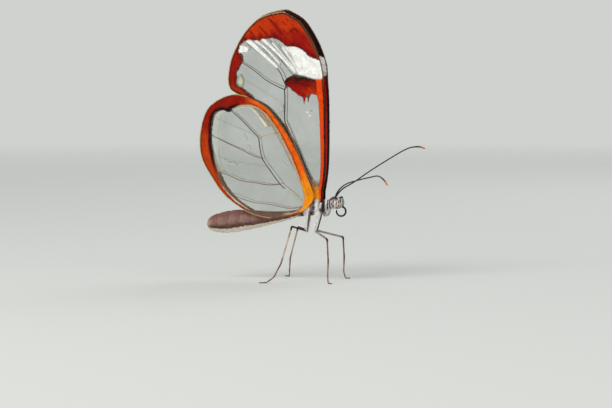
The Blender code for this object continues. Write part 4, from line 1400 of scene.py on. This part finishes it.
def paint_head(canvas, head, points, fine):
    """A white head with dark rings behind it, a mottled crown and a black face."""
    x, _, z = points.T
    canvas.paint(HAIR_WHITE, head * (0.85 + 0.3 * fine))
    for centre in NECK_STRIPES:
        line = (1 - ramp(np.abs(x - centre + 0.03 * fine), 0.06, 0.12)) * ramp(z, 10.8, 11.1)
        canvas.paint(HAIR_DARK, line)
    crown = ramp(z + 0.12 * fine, 12.2, 12.35) * ramp(x, 2.9, 3.1)
    canvas.paint(HAIR_MAUVE * 0.5, head * crown)
    canvas.paint(HAIR_BLACK, head * crown * ramp(grain(points, 0.34, 9), 0.1, 0.5))
    canvas.paint(HAIR_BLACK, head * ramp(x - 0.25 * (12.0 - z), 4.62, 4.74))
    paint_strokes(canvas, HEAD_STROKES, soft=0.07)


def lie_of_hair(points):
    """The way that scales and hair point at places on the body."""
    x, y, z = points.T
    abdomen, coxa, head = regions(points)
    side = np.sign(y)
    thorax = unit(np.column_stack([-0.5 * np.ones_like(x), 0.1 * side, np.where(z > 12.0, 0.0, -1.0)]))
    backward = np.column_stack([-np.ones_like(x), np.zeros_like(x), np.full_like(x, -0.12)])
    down = np.column_stack([np.zeros_like(x), 0.1 * side, -np.ones_like(x)])
    onward = np.where((z > 12.25)[:, None], (1.0, 0.0, 0.35), (0.35, 0.0, -1.0))
    lie = thorax
    for share, way in ((abdomen, backward), (coxa, down), (head, onward)):
        lie = lie + share[:, None] * (way - lie)
    return unit(lie)


def body_map(points):
    """Places of points on the body's unwrap, along and round it, with the coxae in strips of their own."""
    x, y, z = points.T
    rows = body_rows()
    middle = np.interp(x, rows[:, 0], rows[:, 1])
    turn = np.arctan2(y, z - middle) / (2 * np.pi) + 0.5
    length = (x - rows[0, 0]) / (rows[-1, 0] - rows[0, 0])
    place = np.column_stack([0.01 + 0.98 * length, 0.01 + 0.74 * turn])
    which, _, share, turn = on_coxae(points)
    strip = np.column_stack([0.01 + 0.248 * which + 0.23 * (turn / 360 + 0.5), 0.78 + 0.2 * share])
    return np.where((regions(points)[1] > 0.5)[:, None], strip, place)


def gap_of_coat(points):
    abdomen, coxa, head = regions(points)
    gap = np.full(len(points), COAT_GAPS["thorax"])
    for share, name in ((abdomen, "abdomen"), (coxa, "coxa"), (head, "head")):
        gap += share * (COAT_GAPS[name] - gap)
    return gap


def in_eyes(points):
    """Whether points on the head lie under an eye."""
    return np.any([np.sum(((points - outward([EYE_CENTRE], side)) / EYE_RADII) ** 2, axis=1) < 1.0
                   for side in SIDES.values()], axis=0)


def hair_sizes(points):
    """Length, width and rise of the hair at places on the body."""
    _, coxa, head = regions(points)
    crown = ramp(points[:, 2], 12.3, 12.55)
    sizes = []
    places = (HAIR_SIZES[place] for place in ("thorax", "coxa", "head", "crown"))
    for thorax, on_coxa, on_head, on_crown in zip(*places):
        size = thorax + coxa * (on_coxa - thorax)
        sizes.append(size + head * (on_head + crown * (on_crown - on_head) - size))
    return sizes


def build_body(materials, rng):
    """The body's skin, and over it scales on the abdomen and hair on the rest."""
    skin = Skin(body_forms())
    canvas = body_markings(skin.points)
    piece = new_piece("body", skin.points, [skin.quads], materials["hide"], canvas.colour)
    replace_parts(piece, "thorax", "abdomen", "head")
    points, normals = skin.spread(gap_of_coat, rng)
    bare = in_eyes(points)
    points, normals = points[~bare], normals[~bare]
    lie = unit(lie_of_hair(points) + 0.16 * rng.normal(size=points.shape))
    along = along_surface(lie, normals)
    colours = body_markings(points).colour * rng.uniform(0.82, 1.16, (len(points), 1))
    vary = rng.uniform(0.75, 1.2, len(points))
    spots = body_map(points)
    plated = regions(points)[0] > 0.5
    for name, where, solids, sizes, material, slot in (
            ("abdomen_coat", plated, plates, ABDOMEN_SCALE, "scales", "abdomen_scales"),
            ("thorax_coat", ~plated, tufts, hair_sizes(points), "hair", "thorax_hair")):
        sizes = [(size * vary)[where] for size in sizes]
        made = solids(points[where], along[where], normals[where], sizes, colours[where], spots[where])
        coat_piece(name, made, materials[material])


# Eyes, feelers and legs


def eye_markings(points, side):
    """A pale eye, streaked up and down, with painted shade in dark spots where facets look straight at the
    camera.
    """
    out = unit(np.array(EYE_FACING) * (1, side, 1))
    up = unit(np.array([0.0, 0.0, 1.0]) - out * out[2])
    onward = np.cross(up, out) * side * -1
    forward, upward = points @ onward, points @ up
    canvas = Canvas(points, EYE_PALE)
    canvas.paint(EYE_PALE * 0.6, 0.5 + 0.5 * grain(points, 0.28, 2))
    canvas.paint(EYE_DARK, 0.5 * ramp(points[:, 2], 0.5, 0.95))
    uneven = 0.05 * grain(points, 0.3, 6)
    for a in EYE_STREAKS:
        canvas.paint(EYE_MAUVE, 0.5 * (1 - ramp(np.abs(forward - a + uneven), 0.06, 0.2)))
        canvas.paint(EYE_LIGHT, 0.7 * (1 - ramp(np.abs(forward - a - EYE_STREAK_STEP), 0.04, 0.14)))
    canvas.paint(EYE_MAUVE, 0.7 * ramp(upward, 0.55, 0.85))
    # Painted shade: dark spots on the side of the eye that looks at the camera, where its facets look
    # straight back.
    uneven = 0.35 * grain(points, 0.16, 7)
    for a, b in EYE_SPOTS:
        offset = points - (out * math.sqrt(1 - a * a - b * b) + onward * a + up * b)
        gap = np.hypot(offset @ onward / EYE_SPOT_RADII[0], offset @ up / EYE_SPOT_RADII[1]) + uneven
        canvas.paint(EYE_DARK, 0.92 * (1 - ramp(gap, 0.4, 1.25)) * ramp(points @ out, 0.1, 0.3))
    return canvas


def build_eyes(materials):
    for side_name, side in SIDES.items():
        points, caps, quads = ball((0, 0, 0), (1, 1, 1), *EYE_MESH)
        colours = eye_markings(points, side).colour
        placed = outward([EYE_CENTRE], side)[0] + points * EYE_RADII
        piece = new_piece(f"eye_{side_name}", placed, [caps, quads], materials["eye"], colours)
        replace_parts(piece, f"eye_{side_name}")


def limb(path, radii, ring_colours, sides=12, flat=1.0):
    """A tube with a colour for each of its rings."""
    return *tube(path, radii, sides, flat), on_rings(ring_colours, sides)


def limb_piece(name, forms, material, slot):
    """One piece of a limb and what it carries, in the place of the limb's node."""
    parts = Parts()
    for form in forms:
        parts.add(*form)
    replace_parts(parts.piece(name, material, slot), name)


def tapered(path, radii):
    """Radii given evenly along a path, for each of its points."""
    return np.interp(np.linspace(0, 1, len(path)), np.linspace(0, 1, len(radii)), radii)


def limb_map(share, turn):
    """Places on the bake map of points at a share and a turn of a limb."""
    return np.column_stack([0.02 + 0.96 * share, 0.02 + 0.96 * turn])


def build_antennae(materials):
    """Ringed antennae that thicken towards an orange tip."""
    for side_name, side in SIDES.items():
        spread = ANTENNA_SPREAD[side]
        x, y, z = ANTENNA_ROOT
        path = [(x - 0.12, side * (y - 0.06), z - 0.5)]
        path += [(x + run * math.cos(spread), side * (y + run * math.sin(spread)), z + rise)
                 for run, rise in ANTENNA_RISE[side]]
        path = smooth_path(path, ANTENNA_STEP)
        share = np.linspace(0, 1, len(path))
        rings = np.sin(np.pi * ANTENNA_SEGMENTS * share)
        thinning = ANTENNA_THINNING * ramp(share, 0, 0.3)
        club = ANTENNA_CLUB * ramp(share, 0.84, 0.96)
        radii = ANTENNA_RADIUS - thinning + club + ANTENNA_RING * np.abs(rings)
        radii[:len(ANTENNA_ROOT_RADII)] = ANTENNA_ROOT_RADII
        radii *= np.sqrt(np.clip((1 - share) * 60, 0.04, 1))
        colours = between(HAIR_BLACK, ANTENNA_TIP, 0.8 * ramp(share, 0.9, 0.985))
        colours = colours * (1 + 0.5 * (rings ** 2)[:, None])
        limb_piece(f"antenna_{side_name}", [limb(path, radii, colours)], materials["chitin"], "dark_chitin")


def build_proboscis(materials):
    """The tongue: down from the mouth, then round in one open coil."""
    x, z = COIL_CENTRE
    path = [PROBOSCIS_TOP, PROBOSCIS_ROOT]
    path += [(x + COIL_RADIUS * math.cos(a), 0, z + COIL_RADIUS * math.sin(a))
             for a in np.radians(np.linspace(*COIL_TURNS, 12))]
    path = smooth_path(path, PROBOSCIS_STEP)
    share = np.linspace(0, 1, len(path))
    rings = np.abs(np.sin(PROBOSCIS_RINGS * share))
    radii = PROBOSCIS_RADIUS - PROBOSCIS_THINNING * share + PROBOSCIS_RING * rings
    radii[-len(PROBOSCIS_END):] *= PROBOSCIS_END
    black = np.tile(HAIR_BLACK, (len(path), 1))
    limb_piece("proboscis", [limb(path, radii, black, sides=16)], materials["chitin"], "dark_chitin")


def build_palps(materials, rng):
    """Scaly palps held up before the face, pale outside with dark edges and tips."""
    for side_name, side in SIDES.items():
        path = smooth_path(outward(PALP_PATH, side), PALP_STEP)
        radii = tapered(path, PALP_RADII)
        colours = between(SCALE_WHITE, HAIR_BLACK, ramp(np.linspace(0, 1, len(path)), 0.8, 0.9))
        name = f"palp_{side_name}"
        limb_piece(name, [limb(path, radii, colours, flat=0.7)], materials["hide"], "pale_scales")
        made = palp_coat(path, radii, rng)
        coat_piece(f"{name}_coat", made, materials["hair"])


def palp_coat(path, radii, rng):
    points, normals, ahead, share, turn = around(path, radii, PALP_HAIR_GAP, rng)
    front = normals[:, 0]
    dark = np.maximum(ramp(front, 0.62, 0.8), ramp(-front, 0.15, 0.4))
    dark = np.maximum(dark, ramp(share, 0.78, 0.88))
    colours = between(SCALE_WHITE, HAIR_BLACK, dark) * rng.uniform(0.85, 1.1, (len(points), 1))
    return tufts(points, ahead, normals, PALP_HAIR, colours, limb_map(share, turn))


def around(path, radii, gap, rng):
    """Evenly scattered places on a tube, with the normals, the way along it, and share and turn there."""
    ahead = unit(np.gradient(path, axis=0))
    length = np.concatenate([[0], np.cumsum(np.linalg.norm(np.diff(path, axis=0), axis=1))])
    frames = frames_along(ahead, (0.0, 0.31, 0.95))
    rows = []
    for at in np.arange(gap, length[-1], gap):
        k = min(np.searchsorted(length, at), len(path) - 1)
        count = max(3, round(2 * math.pi * radii[k] / gap))
        angles = 2 * np.pi * (np.arange(count) + rng.uniform() + rng.uniform(-0.2, 0.2, count)) / count
        across, up = frames[k]
        normal = np.cos(angles)[:, None] * across + np.sin(angles)[:, None] * up
        rows.append((path[k] + 0.97 * radii[k] * normal, normal, np.broadcast_to(ahead[k], normal.shape),
                     np.full(count, at / length[-1]), angles / (2 * np.pi) % 1))
    return tuple(np.concatenate(column) for column in zip(*rows))


def leg_line(joints):
    """A leg's middle line from its coxa's end to its foot, with each bend rounded off."""
    path = [joints[0]]
    for before, joint, after in zip(joints, joints[1:], joints[2:]):
        start = joint + unit(before - joint) * LEG_BEND
        end = joint + unit(after - joint) * LEG_BEND
        path += [start, (start + end) / 4 + joint / 2, end]
    path.append(joints[-1])
    dense = [np.linspace(a, b, max(2, round(np.linalg.norm(b - a) / LEG_STEP)), endpoint=False)
             for a, b in zip(path, path[1:])]
    return np.vstack(dense + [path[-1:]])


def leg_colours(stage, kind):
    """Colours along a leg: its femur's, its tibia's, then a brown foot; stage counts the joints passed."""
    colours = between(LEG_FEMORA[kind], LEG_KNEE, ramp(stage, 0.8, 0.97))
    colours = between(colours, LEG_TIBIAE[kind], ramp(stage, 1.04, 1.14))
    colours = between(colours, LEG_KNEE, 0.7 * ramp(stage, 1.75, 1.98))
    return between(colours, LEG_FOOT, ramp(stage, 2.05, 2.2))


def build_legs(materials, rng):
    for kind, paths in (("hindleg", HIND_LEG_PATHS), ("midleg", MID_LEG_PATHS)):
        for side_name, side in SIDES.items():
            build_leg(f"{kind}_{side_name}", outward(paths[side], side), kind, materials, rng)


def leg_stages(path, joints):
    """How many joints each point of a leg has passed, and its share of the way to the next."""
    stage = np.zeros(len(path))
    for k in range(len(joints) - 1):
        _, share = distance(path, joints[k:k + 2])
        stage = np.where((share > 0) | (k == 0), k + share, stage)
    return stage


def build_leg(name, joints, kind, materials, rng):
    """One leg with the joints of its foot, its claws and its scales."""
    path = leg_line(joints)
    stage = leg_stages(path, joints)
    foot = np.clip((stage - 2) / 3, 0, 1)
    bulge = KNUCKLE * np.abs(np.sin(np.pi * FOOT_JOINTS * foot)) - KNUCKLE / 2
    knuckles = np.where(stage > 2.02, bulge, 0)
    radii = np.interp(stage, LEG_STAGES, LEG_RADII) + knuckles
    path[:, 2] = np.maximum(path[:, 2], radii)
    forms = [limb(path, radii, leg_colours(stage, kind)), *claws(path)]
    limb_piece(name, forms, materials["leg"], "leg_chitin")
    made = leg_coat(path, radii, stage, kind, rng)
    coat_piece(f"{name}_coat", made, materials["scales"])


def leg_coat(path, radii, stage, kind, rng):
    """A leg's scales, darker along the femur's upper and lower edges and in streaks."""
    points, normals, ahead, share, turn = around(path, radii, LEG_SCALE_GAP, rng)
    at = np.interp(share, np.linspace(0, 1, len(path)), stage)
    edge = ramp(np.abs(normals[:, 2]), 0.72, 0.88) * (1 - ramp(at, 0.85, 1.0))
    colours = between(leg_colours(at, kind), LEG_EDGE, 0.85 * edge)
    colours = colours * (1 - 0.4 * ramp(grain(points, 0.3, 4), 0.0, 0.5)[:, None])
    colours = colours * rng.uniform(0.8, 1.2, (len(points), 1))
    return plates(points, ahead, normals, LEG_SCALE, colours, limb_map(share, turn))


def claws(path):
    """Two small curved claws at the end of a foot."""
    end = path[-1]
    onward = unit((end - path[-4]) * (1, 1, 0))
    across = np.array([-onward[1], onward[0], 0.0])
    made = []
    for way in (1, -1):
        tip = end + onward * CLAW_REACH + across * way * CLAW_SPREAD
        middle = end + onward * 0.12 + across * way * 0.1
        line = smooth_path([end, middle + (0, 0, 0.05), tip * (1, 1, 0) + (0, 0, 0.025)], CLAW_STEP)
        made.append((*tube(line, np.linspace(*CLAW_RADII, len(line)), sides=6), HAIR_BLACK))
    return made


def build_forelegs(materials, rng):
    """The small brush-like forelegs, folded below the neck."""
    for side_name, side in SIDES.items():
        path = smooth_path(outward(FORELEG_PATH, side), FORELEG_STEP)
        radii = tapered(path, FORELEG_RADII)
        colours = between(HAIR_GREY, HAIR_WHITE, np.linspace(0, 1, len(path)))
        name = f"foreleg_{side_name}"
        limb_piece(name, [limb(path, radii, colours)], materials["hide"], "pale_scales")
        points, normals, ahead, share, turn = around(path, radii, FORELEG_HAIR_GAP, rng)
        colours = between(HAIR_MAUVE, HAIR_WHITE, ramp(share, 0.0, 0.5))
        colours = colours * rng.uniform(0.8, 1.1, (len(points), 1))
        made = tufts(points, ahead, normals, FORELEG_HAIR, colours, limb_map(share, turn))
        coat_piece(f"{name}_coat", made, materials["hair"])


# Stage


def stage_material():
    """A matt floor that fades into the backdrop with its distance from the middle."""
    material, nodes, links, shader = new_material("floor", 0.9, specular=0.1)
    shader.inputs["Base Color"].default_value = (*FLOOR_GREY, 1)
    place = nodes.new("ShaderNodeTexCoord")
    away = nodes.new("ShaderNodeVectorMath")
    away.operation = "LENGTH"
    links.new(place.outputs["Object"], away.inputs[0])
    alpha = mapped(nodes, links, away.outputs["Value"], 1.0, 0.0, FLOOR_RADIUS * 0.25, FLOOR_RADIUS)
    links.new(alpha, shader.inputs["Alpha"])
    return material


def build_floor():
    bm = bmesh.new()
    bmesh.ops.create_circle(bm, cap_ends=True, cap_tris=True, segments=96, radius=FLOOR_RADIUS)
    mesh = bpy.data.meshes.new("floor")
    bm.to_mesh(mesh)
    bm.free()
    mesh.materials.append(stage_material())
    floor = bpy.data.objects.new("floor", mesh)
    bpy.context.scene.collection.objects.link(floor)


def add_light(name, place, size, power, tint):
    """A square soft box that faces the model."""
    data = bpy.data.lights.new(name, "AREA")
    data.shape = "SQUARE"
    data.size = size
    data.energy = power
    data.color = tint
    light = bpy.data.objects.new(name, data)
    light.location = place
    light.rotation_euler = (Vector(LIT_POINT) - Vector(place)).to_track_quat("-Z", "Y").to_euler()
    bpy.context.scene.collection.objects.link(light)


def build_light():
    """The backdrop's even light, the soft boxes, and how the picture is shown."""
    scene = bpy.context.scene
    scene.world = bpy.data.worlds.new("studio")
    scene.world.use_nodes = True
    backdrop = scene.world.node_tree.nodes["Background"]
    backdrop.inputs["Color"].default_value = (*BACKDROP, 1)
    backdrop.inputs["Strength"].default_value = BACKDROP_STRENGTH
    for light in LIGHTS:
        add_light(*light)
    scene.view_settings.view_transform = "Standard"
    scene.cycles.transparent_max_bounces = TRANSPARENT_LAYERS


def build_camera():
    data = bpy.data.cameras.new("camera")
    data.sensor_width = SENSOR
    data.lens = SENSOR * CAMERA_DISTANCE / CAMERA_SEES
    data.clip_start = 0.01
    data.clip_end = 10.0
    level = math.cos(CAMERA_ELEVATION)
    back = Vector((math.sin(CAMERA_AZIMUTH) * level, -math.cos(CAMERA_AZIMUTH) * level,
                   math.sin(CAMERA_ELEVATION)))
    camera = bpy.data.objects.new("camera", data)
    camera.location = Vector(in_frame(CAMERA_TARGET)) + back * CAMERA_DISTANCE * MM
    camera.rotation_euler = (-back).to_track_quat("-Z", "Y").to_euler()
    bpy.context.scene.collection.objects.link(camera)
    bpy.context.scene.camera = camera


def build():
    materials = {"membrane": membrane_material()}
    for key, surface in SURFACES.items():
        materials[key] = coloured_material(*surface)
    build_wings(materials)
    rng = np.random.default_rng(BODY_SEED)
    build_body(materials, rng)
    build_eyes(materials)
    build_antennae(materials)
    build_proboscis(materials)
    build_palps(materials, rng)
    build_forelegs(materials, rng)
    build_legs(materials, rng)
    build_floor()
    build_light()
    build_camera()


build()
